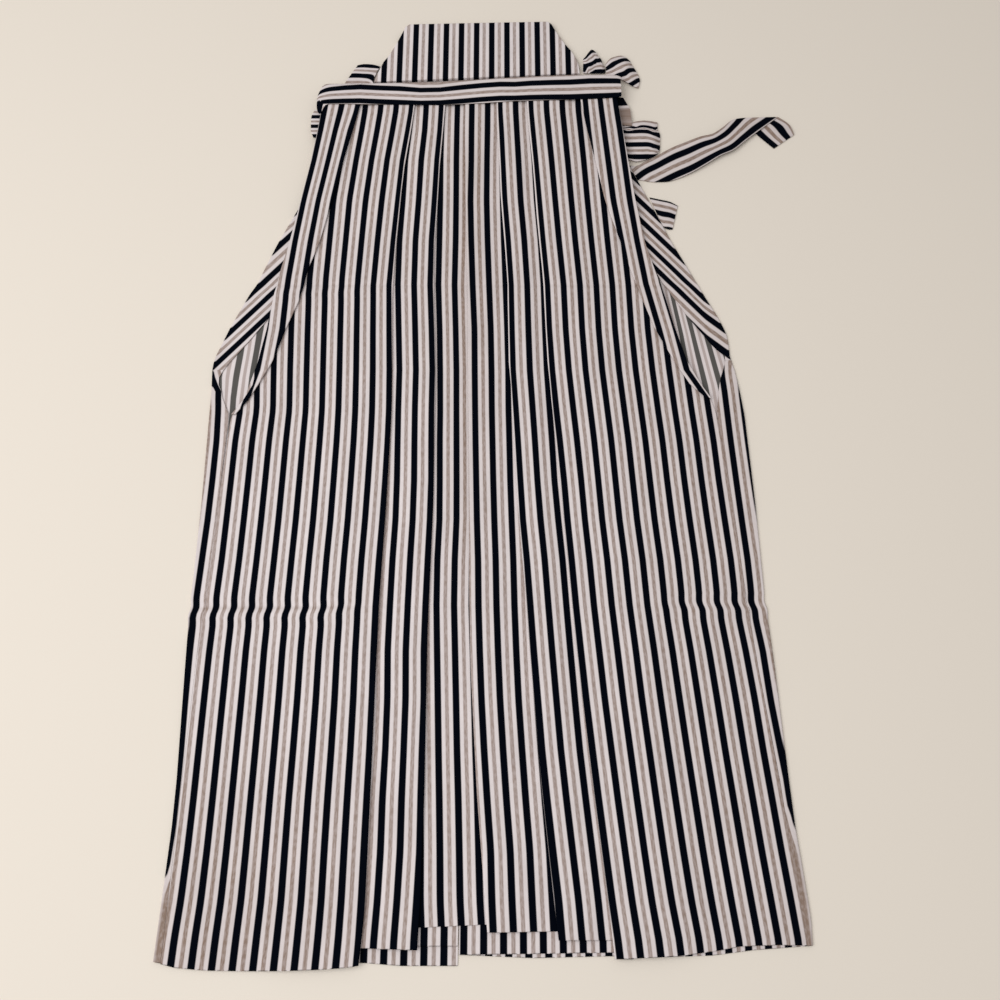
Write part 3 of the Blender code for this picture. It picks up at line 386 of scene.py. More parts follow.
RIGHT_LOOP_LOWER = (
    ((138.5, 809, 1.6, -0.05), (138, 811.5, 1.7, 0.12), (133.5, 822, 1.9, 0.62), (130, 830, 2, 1.12),
     (126.5, 838, 2, 1.62), (122.5, 847, 2, 2.12), (120, 853, 2, 2.5), (119.7, 853.5, 2, 2.93),
     (119.4, 854, 2, 3.28), (118.7, 855.5, 2, 3.45), (118, 857, 2, 3.6)),
    ((144.5, 806.5, 2, -0.15), (143.4, 811.1, 2.4, 0.12), (141.8, 819.1, 2.8, 0.62),
     (140.6, 826.7, 3, 1.12), (139.1, 835.8, 3, 1.62), (137.9, 845.2, 2.8, 2.12),
     (136.8, 847.8, 2.4, 2.35), (136.6, 848.3, 2.3, 2.5), (136.4, 848.7, 2.2, 2.93),
     (136.3, 849.1, 2.2, 3.28), (135.9, 851.3, 2.1, 3.45), (135.4, 853.3, 2, 3.6)),
    ((150.5, 805.2, 2.2, -0.15), (150.2, 811.1, 3.6, 0.12), (150, 819.1, 4.6, 0.62),
     (149.8, 826.7, 5.2, 1.12), (150.2, 835.8, 5.2, 1.62), (150.6, 845.1, 4.8, 2.12),
     (150.7, 847.5, 4.2, 2.35), (150.8, 848.2, 3.4, 2.5), (150.8, 848.7, 3.2, 2.93),
     (150.9, 850.1, 3.2, 3.28), (151, 854, 3, 3.45), (151.2, 858.4, 2.4, 3.62)),
    ((156, 806.4, 2.2, -0.1), (155.7, 811.1, 4.2, 0.12), (155.5, 819.1, 5.4, 0.62),
     (155.9, 826.8, 6, 1.12), (156.3, 835.9, 6, 1.62), (156.8, 845.5, 5.6, 2.12),
     (156.9, 848.1, 5, 2.31), (156.9, 848.7, 3.8, 2.5), (157, 849.6, 3.6, 2.93),
     (157.1, 852.7, 3.6, 3.28), (157.2, 855.1, 3.4, 3.45), (157.4, 859.5, 2.4, 3.64)),
    ((164.8, 809.4, 2.2, 0.02), (164.6, 812, 3.6, 0.16), (164.4, 819.1, 5.6, 0.62),
     (164.7, 826.6, 6.2, 1.12), (165.2, 835.5, 6.2, 1.62), (165.6, 844.3, 5.8, 2.12),
     (165.7, 846.8, 5.2, 2.31), (165.8, 847.8, 3.8, 2.5), (165.8, 848.7, 3.6, 2.93),
     (166, 851.9, 3.6, 3.28), (166.1, 854.7, 3.4, 3.45), (166.3, 859.3, 2.4, 3.64)),
    ((171, 813, 2.1, 0.15), (171.3, 814.6, 3.2, 0.3), (171.5, 817.8, 4.8, 0.62),
     (171.6, 823.8, 5.4, 1.12), (171.9, 833.1, 5.4, 1.62), (172.1, 841.2, 5, 2.12),
     (172.3, 844.1, 4.6, 2.31), (172.3, 845.1, 3.4, 2.5), (172.4, 846.4, 3.2, 2.93),
     (172.6, 850, 3.2, 3.28), (172.8, 853.8, 3, 3.5), (173, 857.7, 2.3, 3.64)),
    ((173.6, 815.6, 2, 0.3), (174.6, 817.4, 2, 0.5), (175.4, 819.8, 2, 1.05), (176, 825.8, 2, 1.3),
     (176.4, 832.4, 2, 1.7), (176.8, 837.8, 2, 2.08), (176.6, 841.9, 2, 2.25), (175.1, 845.2, 2, 2.45),
     (174.2, 847.9, 2, 2.95), (174.4, 850.6, 2, 3.28), (174.6, 854, 2, 3.5), (174.6, 857.4, 2, 3.64)),
)
BACK_TIE_LEFT = (
    ((-145.5, 906, 4.4, 1.7), (-143.5, 913.4, 4.4, 1.28), (-143.1, 919.1, 4.6, 1), (-141.6, 923.3, 4.6, 0.9),
     (-140.1, 929, 4.6, 0.62), (-138, 932.5, 4.6, 0.3), (-136.4, 934.9, 4.4, 0.12)),
    ((-149, 906, 4.4, 1.9), (-146.9, 913.4, 4.4, 1.5), (-147.1, 917.6, 5, 1.27), (-146.7, 922, 5.4, 1.12),
     (-145.8, 929, 5.2, 0.62), (-144.4, 935.6, 5, 0.12), (-143.9, 937.5, 4.4, -0.02)),
    ((-157.5, 905.5, 4.4, 2.1), (-156.5, 913.4, 4.6, 1.62), (-156.6, 923, 5.8, 1.12),
     (-155.5, 929.7, 5.4, 0.62), (-153.6, 936.5, 5.2, 0.12), (-153.1, 938.5, 4.4, -0.02)),
    ((-169, 905, 4.4, 2.1), (-166.7, 913.4, 4.6, 1.62), (-165.7, 923.6, 5.4, 1.12), (-163, 930, 5.2, 0.62),
     (-158.7, 936.2, 5, 0.12), (-157.6, 938.1, 4.4, -0.02)),
    ((-178, 905, 4.4, 2.1), (-174.1, 913.4, 4.4, 1.62), (-169.1, 923.3, 4.4, 1.12), (-165.6, 930, 4.4, 0.62),
     (-162.3, 935.6, 4.4, 0.12), (-161.6, 937.2, 4.4, 0)),
)
FREE_TIE = (
    ((142.1, 799.5, 0.5, 2.06), (150, 781, 0.5, 1.02)),
    ((149.7, 799.3, 0.5, 1.75), (154.8, 780.3, 0.5, 0.84)),
    ((159.3, 805.2, 0.6, 1.72), (163.5, 778.6, 0.6, 0.48)),
    ((170.6, 811.1, 0.9, 1.7), (174.4, 778.4, 0.8, 0.2)),
    ((179.7, 817.1, 1.4, 1.7), (183.1, 779, 1, 0.01)),
    ((190, 823.4, 2.2, 1.7), (193.1, 782.3, 1.4, -0.08)),
    ((204.8, 830.4, 3.4, 1.7), (210, 791, 2.6, -0.08)),
    ((222.6, 838.4, 4.4, 1.7), (228.4, 803.2, 3.8, -0.08)),
    ((236.6, 842.4, 4.6, 1.7), (243.4, 813.5, 4.4, -0.08)),
    ((247.7, 850.5, 4.4, 1.66), (257.1, 820.2, 4.4, -0.08)),
    ((259.7, 860.8, 3.8, 1.5), (271.6, 832.7, 4, -0.08)),
    ((270.5, 863.3, 3, 1.1), (283.7, 842.9, 3.2, -0.08)),
    ((287.3, 864.1, 2.4, 0.62), (294, 851.3, 2.6, -0.08)),
    ((307.5, 864.8, 1.8, 0.05), (309, 863.3, 1.8, -0.08)),
)
FREE_TIE_END = (
    ((265.9, 862.2, 0.5, 0), (310.8, 864.7, 0.6, 1.75)),
    ((278.3, 849.3, 0.5, 0), (321.8, 855.1, 1.6, 1.65)),
    ((291.4, 834.1, 0.7, 0), (325.8, 843.9, 1.8, 1.62)),
    ((302.5, 822.4, 0.5, 0), (326.3, 840.5, 0.5, 1.6)),
)
LOW_TIE_END = (
    ((161.9, 758.3, 0.5, 1.08), (173.2, 725.4, 0.5, -0.55)),
    ((174.2, 755.2, 0.8, 1.08), (175.6, 720.4, 0.8, -0.72)),
    ((183.8, 752.6, 1.4, 1.08), (180.3, 718.2, 1.2, -0.82)),
    ((191.7, 747.6, 0.8, 1.02), (184.5, 717.9, 0.8, -0.78)),
)
# The patch's dark top is one dark stripe drawn wider than it is, to take in the shade under the band's end:
# painted shade.
RIGHT_PATCH = (
    ((129, 893, 3.1, 0.08), (139, 891, 3.1, 0.08)), ((129.3, 881, 3.1, 0.25), (143, 882, 3.1, 0.25)),
    ((130, 877, 3.1, 0.5), (145, 878, 3.1, 0.52)), ((132, 866, 3.5, 0.62), (146.5, 866, 3.5, 0.62)),
    ((134, 854, 4.0, 0.72), (147, 853, 4.0, 0.72)),
)
# Each stretch of tie: its table, the level of its under layer if it is doubled, what it rests on, and whether
# its table runs the other way round.
TIES = (
    ("tie_back_left", BACK_TIE_LEFT, UNDER_BACK_TIE, ["back_left"], True),
    ("tie_loop_inner", RIGHT_LOOP_INNER, UNDER_LOOPS, ["back_board"], False),
    ("tie_loop_outer", RIGHT_LOOP_OUTER, UNDER_LOOPS, [], False),
    ("tie_loop_lower", RIGHT_LOOP_LOWER, UNDER_LOOPS, [], False),
    ("tie_patch", RIGHT_PATCH, None, [], True),
    ("tie_free", FREE_TIE, None, [], False),
    ("tie_free_end", FREE_TIE_END, None, [], True),
    ("tie_end_low", LOW_TIE_END, None, [], False),
)
# The tie folded to and fro at the left side of the waist.
LEFT_FOLD_HEIGHTS = (837, 846, 856, 866, 874)
LEFT_FOLD_OUTER = (-207, -210.5, -211, -211, -208)
LEFT_FOLD_INNER = -186
LEFT_FOLD_LAYERS = 4
LEFT_FOLD_ROWS = 16
LEFT_FOLD_POINTS = 8
LEFT_FOLD_STRIPES_AT = 867
LEFT_FOLD_SQUEEZE = 1.3        # its stripes follow each other this many times as closely
# The ties that lie hidden between the fronts and the backs.
FOLDED_TIES_LEFT = -184
FOLDED_TIES_RIGHT = 127
FOLDED_TIES_FOOT = 735
FOLDED_TIES_TOP = 900
FOLDED_TIES_UNDER_BAND = 868
FOLDED_TIES_BLEND = 4
FOLDED_TIES_LAYERS = 4
FOLDED_TIES_POINTS = 24
FOLDED_TIES_THICKNESS = 0.25
FOLDED_TIES_EDGE = 0.15
FOLDED_TIES_ROOM = 0.2         # kept free above and below them
FOLDED_TIES_STRIPES_AT = 740

# ---------------------------------------------------------------- tan and shade: tan stains and painted shade
# Across the legs: little in the middle, and painted shade at both outer edges, most on the right, where the
# cloth curves down out of the light.
TAN_AND_SHADE_PLACES = (-290, -280, -100, 60, 110, 200, 252, 260)
TAN_AND_SHADE_ACROSS = (0.8, 0.05, 0.05, 0.15, 0.25, 0.6, 0.8, 1.3)
MOST_TAN_AND_SHADE = 1.3
CREASE_SHADE = 0.9         # painted shade along the lower crease on the left leg
CREASE_SHADE_AT = 303
UPPER_DARKENING = 0.4          # browner and darker towards the waist
UPPER_DARKENING_FROM = (350, 700)
LOWER_LEFT_SHADE = 0.85         # painted shade at the foot of the left leg, where the light falls off
LOWER_LEFT_SHADE_TO = (20, 260)
LOWER_LEFT_SHADE_ACROSS = (-250, 0)
FOLD_STAIN_AND_SHADE = -33           # a tan stain and painted shade along the middle fold
FOLD_STAIN_AND_SHADE_WIDTH = 17
FOLD_STAIN_AND_SHADE_SHARE = 0.7
FOLD_STAIN_AND_SHADE_FROM = (250, 450)
FOLD_STAIN_AND_SHADE_TO = (780, 890)

# ---------------------------------------------------------------- the striped weave
RIGHT_SIDE, REVERSE, RIM = range(3)     # the finishes of each piece of cloth, in their order
# Stops of (share of the way from one dark stripe to the next, value), the first two at the ends.
DARK_STOPS = ((0.0, 1.0), (1.0, 1.0), (0.32, 1.0), (0.365, 0.0), (0.945, 0.0), (0.99, 1.0))
BEIGE_STOPS = ((0.0, 0.0), (1.0, 0.0), (0.52, 0.0), (0.57, 1.0), (0.73, 1.0), (0.78, 0.0))
THREAD_STOPS = ((0.42, 0.0), (0.58, 1.0))
DASH_STOPS = ((0.40, 0.0), (0.52, 1.0))
# How often each pattern changes in one stripe's spacing, across the stripes and along them.
FINE_LINES = (38, 0.9)
BROAD_LINES = (13, 3.2)
SLOW_SHADE = (1.6, 0.35)
HEM_DASHES = (4.5, 1)
PLAIN_WEAVE = (60, 60)
# How much each of them adds.
FINE_SHARE = 0.35
BROAD_SHARE = 0.65
BEIGE_LINES = 0.55
BEIGE_TAN_AND_SHADE = 0.5
LIGHT_LINES = 0.06
LIGHT_TAN_AND_SHADE = 0.2
HEM_LINE_SHARE = 0.8
SHADE_FROM = (0.3, 0.7)
SHADE_TO = (0.94, 1.04)
WEAVE_HEIGHT = 0.6
FINE_HEIGHT = 0.4
ROUGHNESS = 0.72
ROUGHNESS_CHANGE = 0.14
BUMP_STRENGTH = 0.25
BUMP_DISTANCE = 0.0003
CLOTH_SHINE = 0.025

# ---------------------------------------------------------------- where the tables' places are
SIGHT_FOOT = (0.0, 92.7)  # the tables are sighted from above this place
SIGHT_HEIGHT = 915.0
ORIGIN_X = 16.8           # the frame's origin in the tables
ORIGIN_Y = 496.4

# ---------------------------------------------------------------- floor, lights and camera (metres, degrees)
FLOOR_SIZE = 6
FLOOR_DROP = 0.0002
FLOOR_ROUGHNESS = 0.9
FLOOR_SHINE = 0.1
ROOM_COLOUR = (1.0, 0.985, 0.97, 1)
KEY_SIZE = (1.8, 2.4)
KEY_PLACE = (-1.5, -0.45, 1.9)
KEY_TILT = (10, -36)
OVERHEAD_SIZE = 0.7
OVERHEAD_PLACE = (-0.05, -0.15, 1.4)
CAMERA_LENS = 36          # millimetres, as wide as the sensor
CAMERA_HEIGHT = 0.9152
CAMERA_TILT = 19.2


# ---------------------------------------------------------------- reading the tables
def column(table, columns, name):
    index = columns.index(name)
    return np.array([row[0] for row in table]), np.array([row[index] for row in table])


FRONT_LINES = {name: column(FRONT_SECTIONS, FRONT_COLUMNS, name) for name in FRONT_COLUMNS[1:]}
STRIPES = {name: column(STRIPE_LINES, STRIPE_COLUMNS, name) for name in STRIPE_COLUMNS[1:]}


def read(table, columns, name, at):
    places, values = column(table, columns, name)
    return float(np.interp(at, places, values))


def front(name, height):
    return float(np.interp(height, *FRONT_LINES[name]))


def hem_of(table, x):
    return float(np.interp(x, [row[0] for row in table], [row[1] for row in table]))


def smooth(value, start, end):
    """0 before start, 1 after end, and an even curve between them."""
    t = min(max((value - start) / (end - start), 0.0), 1.0)
    return t * t * (3 - 2 * t)


def count_at(x, lines):
    """Stripe count at x, from lines of (x, count) in rising x, carried on past both ends."""
    if x <= lines[1][0] or len(lines) == 2:
        low, high = lines[0], lines[1]
    else:
        low, high = lines[-2], lines[-1]
    return low[1] + (x - low[0]) * (high[1] - low[1]) / (high[0] - low[0])


def panel_stripes(panel, height):
    """A function from x to the stripe count on one panel of a front at one height."""
    lines = [(float(np.interp(height, *STRIPES[name])), count) for name, count in PANEL_STRIPES[panel]]
    return lambda x: count_at(x, lines)


# ---------------------------------------------------------------- how high the cloth lies
def lying(x, height):
    """Middle of the fronts' lowest layer."""
    inside = smooth(x, *SIDE_DROP_LEFT) * (1 - smooth(x, *SIDE_DROP_RIGHT))
    above = smooth(height, *SIDE_DROP_TOP)
    ridge = 0.0
    for crease in CROSS_CREASE_HEIGHTS:
        ridge += CROSS_CREASE_RISE * math.exp(-((height - crease) / CROSS_CREASE_REACH) ** 2)
        ridge -= CROSS_CREASE_DEPTH * math.exp(-((height - crease) / CROSS_CREASE_WIDTH) ** 2)
    waist = smooth(height, WAIST_RISE_FROM, WAIST_RISE_TO)
    return WRAP_LAYER + PITCH * max(inside, above) + ridge + WAIST_RISE * waist


def place(x, height, z):
    """Metres in the frame for a place on the ground as sighted, where the cloth is z millimetres up."""
    nearer = 1 - z / SIGHT_HEIGHT
    left = 1 - smooth(x, *LEFT_SHIFT_ENDS)
    outwards = smooth(x, *RIGHT_SHIFT_STARTS) - LEFT_SHIFT * left
    shift = 0.0
    for crease, step in zip(CROSS_CREASE_HEIGHTS, CROSS_CREASE_SHIFTS):
        away = (crease - LEFT_SHIFT_LOWER * left - height) / SHIFT_REACH
        shift += step * outwards * away * math.exp(-away ** 2)
    true_x = SIGHT_FOOT[0] + (x + shift - SIGHT_FOOT[0]) * nearer
    true_height = SIGHT_FOOT[1] + (height - SIGHT_FOOT[1]) * nearer
    return ((true_x - ORIGIN_X) * MM, (true_height - ORIGIN_Y) * MM, z * MM)


# ---------------------------------------------------------------- sections: points of (x, z, hem, count)
def turned_fold(x, low, high, side, hem, edge):
    """Points round a fold whose edge is at x; side is +1 when it faces right; edge is half the cloth."""
    radius = abs(high - low) / 2
    centre = x - side * (radius + edge)
    middle = (low + high) / 2
    points = []
    for step in range(FOLD_STEPS + 1):
        angle = math.pi * step / FOLD_STEPS
        z = middle + (low - high) / 2 * math.cos(angle)
        points.append((centre + side * radius * math.sin(angle), z, hem, None))
    return points


def stretch(x_from, x_to, count, level, height, hem_from, hem_to, stripes=None, rise=None):
    """Points along one layer; rise is (where it starts, where it ends, level it climbs to)."""
    points = []
    for step in range(count):
        t = step / (count - 1)
        x = x_from + (x_to - x_from) * t
        climb = 0.0
        if rise:
            start, end, top = rise
            climb = smooth(abs(x - x_from), abs(start - x_from), abs(end - x_from)) * (top - level)
        z = lying(x, height) + PITCH * (level + climb)
        points.append((x, z, hem_from + (hem_to - hem_from) * t, stripes(x) if stripes else None))
    return points


def pleat(fold, underlap, side, height, hem_fold, hem_back, hem_next, edge):
    """A pleat's fold, the layer that runs back under it and the turn to the next panel."""
    back = fold - side * underlap
    base = lying(fold, height)
    base_back = lying(back, height)
    under_from = fold - side * (WALL + underlap * UNDERLAP_START)
    under_to = back + side * FOLD_ROOM
    points = turned_fold(fold, base + PITCH * PLEAT_LEVELS, base + PITCH, side, hem_fold, edge)
    points += stretch(under_from, under_to, UNDERLAP_POINTS, 1, height, hem_fold, hem_back)
    points += turned_fold(back, base_back + PITCH, base_back, -side, hem_back, edge)
    points += stretch(under_to, fold, UNDERLAP_POINTS, 0, height, hem_back, hem_next)
    return points


def fill_counts(points):
    """Stripe counts for the points that have none, by distance along the cloth between those that do."""
    distance = [0.0]
    for before, after in zip(points, points[1:]):
        distance.append(distance[-1] + math.hypot(after[0] - before[0], after[1] - before[1]))
    known = [(distance[index], point[3]) for index, point in enumerate(points) if point[3] is not None]
    places = [item[0] for item in known]
    counts = [item[1] for item in known]
    return [(x, z, hem, float(np.interp(distance[index], places, counts)) if count is None else count)
            for index, (x, z, hem, count) in enumerate(points)]


def left_front_section(height, edge):
    """Panels A, B and C from the side to the middle fold, with the pleats between them."""
    side = front("left_edge", height) - SEAM_REACH
    fold_1, fold_2, fold_3 = (front(name, height) for name in ("fold_1", "fold_2", "fold_3"))
    lap_a = OUTER_UNDERLAP * (fold_1 - side)
    lap_b = INNER_UNDERLAP * (fold_2 - fold_1)
    b_start, b_end = PANEL_B_HEM
    c_start, c_end = PANEL_C_HEM
    rise = (side + OUTER_RISE_FROM * (fold_1 - side), fold_1 - lap_a - FOLD_ROOM, PLEAT_LEVELS)
    panel = stretch(side, fold_1 - PANEL_ROOM, OUTER_PANEL_POINTS, 0, height, 0, 0,
                    panel_stripes("a", height), rise)
    points = [(x, z, hem_of(LEFT_HEM, x), count) for x, z, _, count in panel]
    points += pleat(fold_1, lap_a, 1, height, 0.0, b_start / 2, b_start, edge)
    rise = (fold_1 + WALL, fold_2 - lap_b - FOLD_ROOM, PLEAT_LEVELS)
    points += stretch(fold_1 + WALL, fold_2 - PANEL_ROOM, INNER_PANEL_POINTS, 0, height, b_start, b_end,
                      panel_stripes("b", height), rise)
    points += pleat(fold_2, lap_b, 1, height, b_end, (b_end + c_start) / 2, c_start, edge)
    points += stretch(fold_2 + WALL, fold_3 + CENTRE_TUCK, CENTRE_PANEL_POINTS, 0, height, c_start, c_end,
                      panel_stripes("c", height))
    return fill_counts(points)


def right_front_section(height, edge):
    """Panels F, E and D from the side to the middle fold, which turns back under panel D."""
    side = front("right_edge", height) + SEAM_REACH
    fold_5, fold_4, fold_3 = (front(name, height) for name in ("fold_5", "fold_4", "fold_3"))
    lap_f = OUTER_UNDERLAP * (side - fold_5)
    lap_e = INNER_UNDERLAP * (fold_5 - fold_4)
    f_hem = RIGHT_HEM[0][1]
    d_start, d_end = PANEL_D_HEM
    stripes = panel_stripes("d", height)
    rise = (side - OUTER_RISE_FROM * (side - fold_5), fold_5 + lap_f + FOLD_ROOM, PLEAT_LEVELS)
    panel = stretch(side, fold_5 + PANEL_ROOM, OUTER_PANEL_POINTS, 0, height, 0, 0,
                    panel_stripes("f", height), rise)
    points = [(x, z, hem_of(RIGHT_HEM, x), count) for x, z, _, count in panel]
    points += pleat(fold_5, lap_f, -1, height, f_hem, (f_hem + PANEL_E_HEM) / 2, PANEL_E_HEM, edge)
    rise = (fold_5 - WALL, fold_4 + lap_e + FOLD_ROOM, PLEAT_LEVELS)
    points += stretch(fold_5 - WALL, fold_4 + PANEL_ROOM, INNER_PANEL_POINTS, 0, height,
                      PANEL_E_HEM, PANEL_E_HEM, panel_stripes("e", height), rise)
    points += pleat(fold_4, lap_e, -1, height, PANEL_E_HEM, (PANEL_E_HEM + d_end) / 2, d_end, edge)
    rise = (fold_4 - WALL, fold_3 + CENTRE_UNDERLAP + FOLD_ROOM, PLEAT_LEVELS)
    points += stretch(fold_4 - WALL, fold_3 + PANEL_ROOM, INNER_PANEL_POINTS, 0, height,
                      d_end, d_start, stripes, rise)
    base = lying(fold_3, height)
    points += turned_fold(fold_3, base + PITCH * PLEAT_LEVELS, base + PITCH, -1, d_start, edge)
    under = stretch(fold_3 + PANEL_ROOM, fold_3 + CENTRE_UNDERLAP, CENTRE_UNDER_POINTS, 1, height,
                    d_start, d_start)
    points += [(x, z, hem, 2 * stripes(fold_3) - stripes(x)) for x, z, hem, _ in under]
    return fill_counts(points)


def centre_seam(height):
    """Where the seam between the two backs lies."""
    return CENTRE_SEAM_HEM + (CENTRE_SEAM_TOP - CENTRE_SEAM_HEM) * height / BACK_TOP_RIGHT


def ground_count(side, x, height):
    """Stripe count on the layer of a back that lies on the ground."""
    table = LEFT_BACK_STRIPES if side < 0 else RIGHT_BACK_STRIPES
    lines = [(read(table, BACK_STRIPE_COLUMNS, name, height), count + STRIPE_MIDDLE)
             for count, name in enumerate(BACK_STRIPE_COLUMNS[1:])]
    start, spacing, first = BACK_HEM_STRIPE_LEFT if side < 0 else BACK_HEM_STRIPE_RIGHT
    at_hem = first + (x - start) / spacing
    above = smooth(height, *HEM_STRIPES_TO)
    return at_hem + (count_at(x, sorted(lines)) - at_hem) * above


def wrap_count(side, x, height):
    """Stripe count on the cloth of a back that is turned round to the front."""
    if height < (OPENING_FOOT_LEFT if side < 0 else OPENING_FOOT_RIGHT):
        table, first = (LEFT_LIP_STRIPE, LEFT_LIP_COUNT) if side < 0 else (RIGHT_LIP_STRIPE, RIGHT_LIP_COUNT)
        line = read(table, LIP_COLUMNS, "line", height)
        return first + side * (x - line) * read(table, LIP_COLUMNS, "scale", height) / STRIPE_SPACING
    across, stripes = (LEFT_SLANT, LEFT_SLANT_STRIPES) if side < 0 else (RIGHT_SLANT, RIGHT_SLANT_STRIPES)
    at = across[0] * x + across[1] * height
    if side > 0:
        at += max(0, x - RIGHT_SLANT_BEND[0]) * RIGHT_SLANT_BEND[1]
    places = [row[0] for row in stripes]
    counts = [row[1] for row in stripes]
    if at < places[0]:
        return counts[0] + (at - places[0]) * (counts[1] - counts[0]) / (places[1] - places[0])
    if at > places[-1]:
        return counts[-1] + (at - places[-1]) * (counts[-1] - counts[-2]) / (places[-1] - places[-2])
    return float(np.interp(at, places, counts))


def back_section(table, hem, side, height, edge):
    """From the centre seam out to the outline, round it, and in to the edge of the wrap."""
    outline = read(table, BACK_COLUMNS, "outline", height)
    wrap = read(table, BACK_COLUMNS, "wrap", height)
    seam = centre_seam(height) + side * CENTRE_SEAM_GAP
    end = outline - side * FOLD_ROOM
    straight_to = outline - side * BACK_BLEND
    points = []
    for step in range(BACK_POINTS):
        x = seam + (straight_to - seam) * step / (BACK_POINTS - 1)
        points.append((x, GROUND_LAYER, hem_of(hem, x), ground_count(side, x, height)))
    points.append((end, GROUND_LAYER, hem_of(hem, end), wrap_count(side, outline, height)))
    points += turned_fold(outline, GROUND_LAYER, WRAP_LAYER, side, hem_of(hem, outline), edge)
    start = outline - side * WRAP_START
    for step in range(WRAP_POINTS):
        x = start + (wrap - start) * step / (WRAP_POINTS - 1)
        points.append((x, WRAP_LAYER, hem_of(hem, x), wrap_count(side, x, height)))
    return fill_counts(points)


def side_pleat_section(table, stripes, side, height, edge):
    """A side pleat's lower layer, its fold at the inner edge, and its upper layer."""
    outer = read(table, SIDE_PLEAT_COLUMNS, "outer", height)
    inner = read(table, SIDE_PLEAT_COLUMNS, "inner", height)
    if side * (inner - outer) < SIDE_PLEAT_TIP:
        inner = outer + side * SIDE_PLEAT_TIP
    turn = inner - side * FOLD_ROOM
    base = lying(inner, height)
    lines = [(read(stripes, SIDE_STRIPE_COLUMNS, name, height), count)
             for count, name in enumerate(SIDE_STRIPE_COLUMNS[1:])]
    at_turn = count_at(inner, lines)
    points = []
    for step in range(SIDE_PLEAT_POINTS):
        x = outer + (turn - outer) * step / (SIDE_PLEAT_POINTS - 1)
        points.append((x, lying(x, height) + PITCH, 0, 2 * at_turn - count_at(x, lines)))
    points += turned_fold(inner, base + PITCH, base + 2 * PITCH, side, 0, edge)
    for step in range(SIDE_PLEAT_POINTS):
        x = turn + (outer - turn) * step / (SIDE_PLEAT_POINTS - 1)
        points.append((x, lying(x, height) + 2 * PITCH, 0, count_at(x, lines)))
    return fill_counts(points)


# ---------------------------------------------------------------- meshes
def level_heights(lowest, highest):
    """Even heights, with closer ones at the cross creases and on both sides of each opening's foot."""
    steps = max(1, round((highest - lowest) / ROW_SPACING))
    even = [lowest + (highest - lowest) * step / steps for step in range(steps + 1)]
    close = [crease + step for crease in CROSS_CREASE_HEIGHTS for step in CROSS_CREASE_ROWS]
    close += [foot + step for foot in (OPENING_FOOT_LEFT, OPENING_FOOT_RIGHT) for step in FOOT_ROWS]
    close = [height for height in close if lowest + 1 < height < highest - 1]
    kept = [height for height in even if all(abs(height - other) > 1 for other in close)]
    return sorted(kept + close)


def hem_and_level_rows(section, highest, edge):
    """Rows of (place, count, height) from the hem up: a zone that follows the hem, then level rows."""
    hems = [point[2] for point in section(0, edge)]
    rows = []
    for step in HEM_STEPS:
        row = []
        for index, hem in enumerate(hems):
            height = hem + (HEM_ZONE - hem) * step
            x, z, _, count = section(height, edge)[index]
            row.append((place(x, height, z), count, height))
        rows.append(row)
    for height in level_heights(HEM_ZONE, highest):
        rows.append([(place(x, height, z), count, height) for x, z, _, count in section(height, edge)])
    return rows


def tan_and_shade_at(x, height):
    """How far the cloth is drawn browner, from 0 to its most, at a place in millimetres: tan and painted
    shade.
    """
    across = float(np.interp(x, TAN_AND_SHADE_PLACES, TAN_AND_SHADE_ACROSS))
    # A tan stain and painted shade along the middle fold.
    middle = math.exp(-((x - FOLD_STAIN_AND_SHADE) / FOLD_STAIN_AND_SHADE_WIDTH) ** 2)
    fold = middle * smooth(height, *FOLD_STAIN_AND_SHADE_FROM) * (1 - smooth(height, *FOLD_STAIN_AND_SHADE_TO))
    upper = UPPER_DARKENING * smooth(height, *UPPER_DARKENING_FROM)
    # Painted shade at the foot of the left leg.
    corner = LOWER_LEFT_SHADE * (1 - smooth(height, *LOWER_LEFT_SHADE_TO)) * (1 - smooth(x, *LOWER_LEFT_SHADE_ACROSS))
    left = 1 - smooth(x, *LEFT_SHIFT_ENDS)
    # Painted shade along the lower crease of the left leg.
    crease = CREASE_SHADE * left * math.exp(-((height - CREASE_SHADE_AT) / CROSS_CREASE_WIDTH) ** 2)
    return min(MOST_TAN_AND_SHADE, across + upper + corner + FOLD_STAIN_AND_SHADE_SHARE * fold + crease)


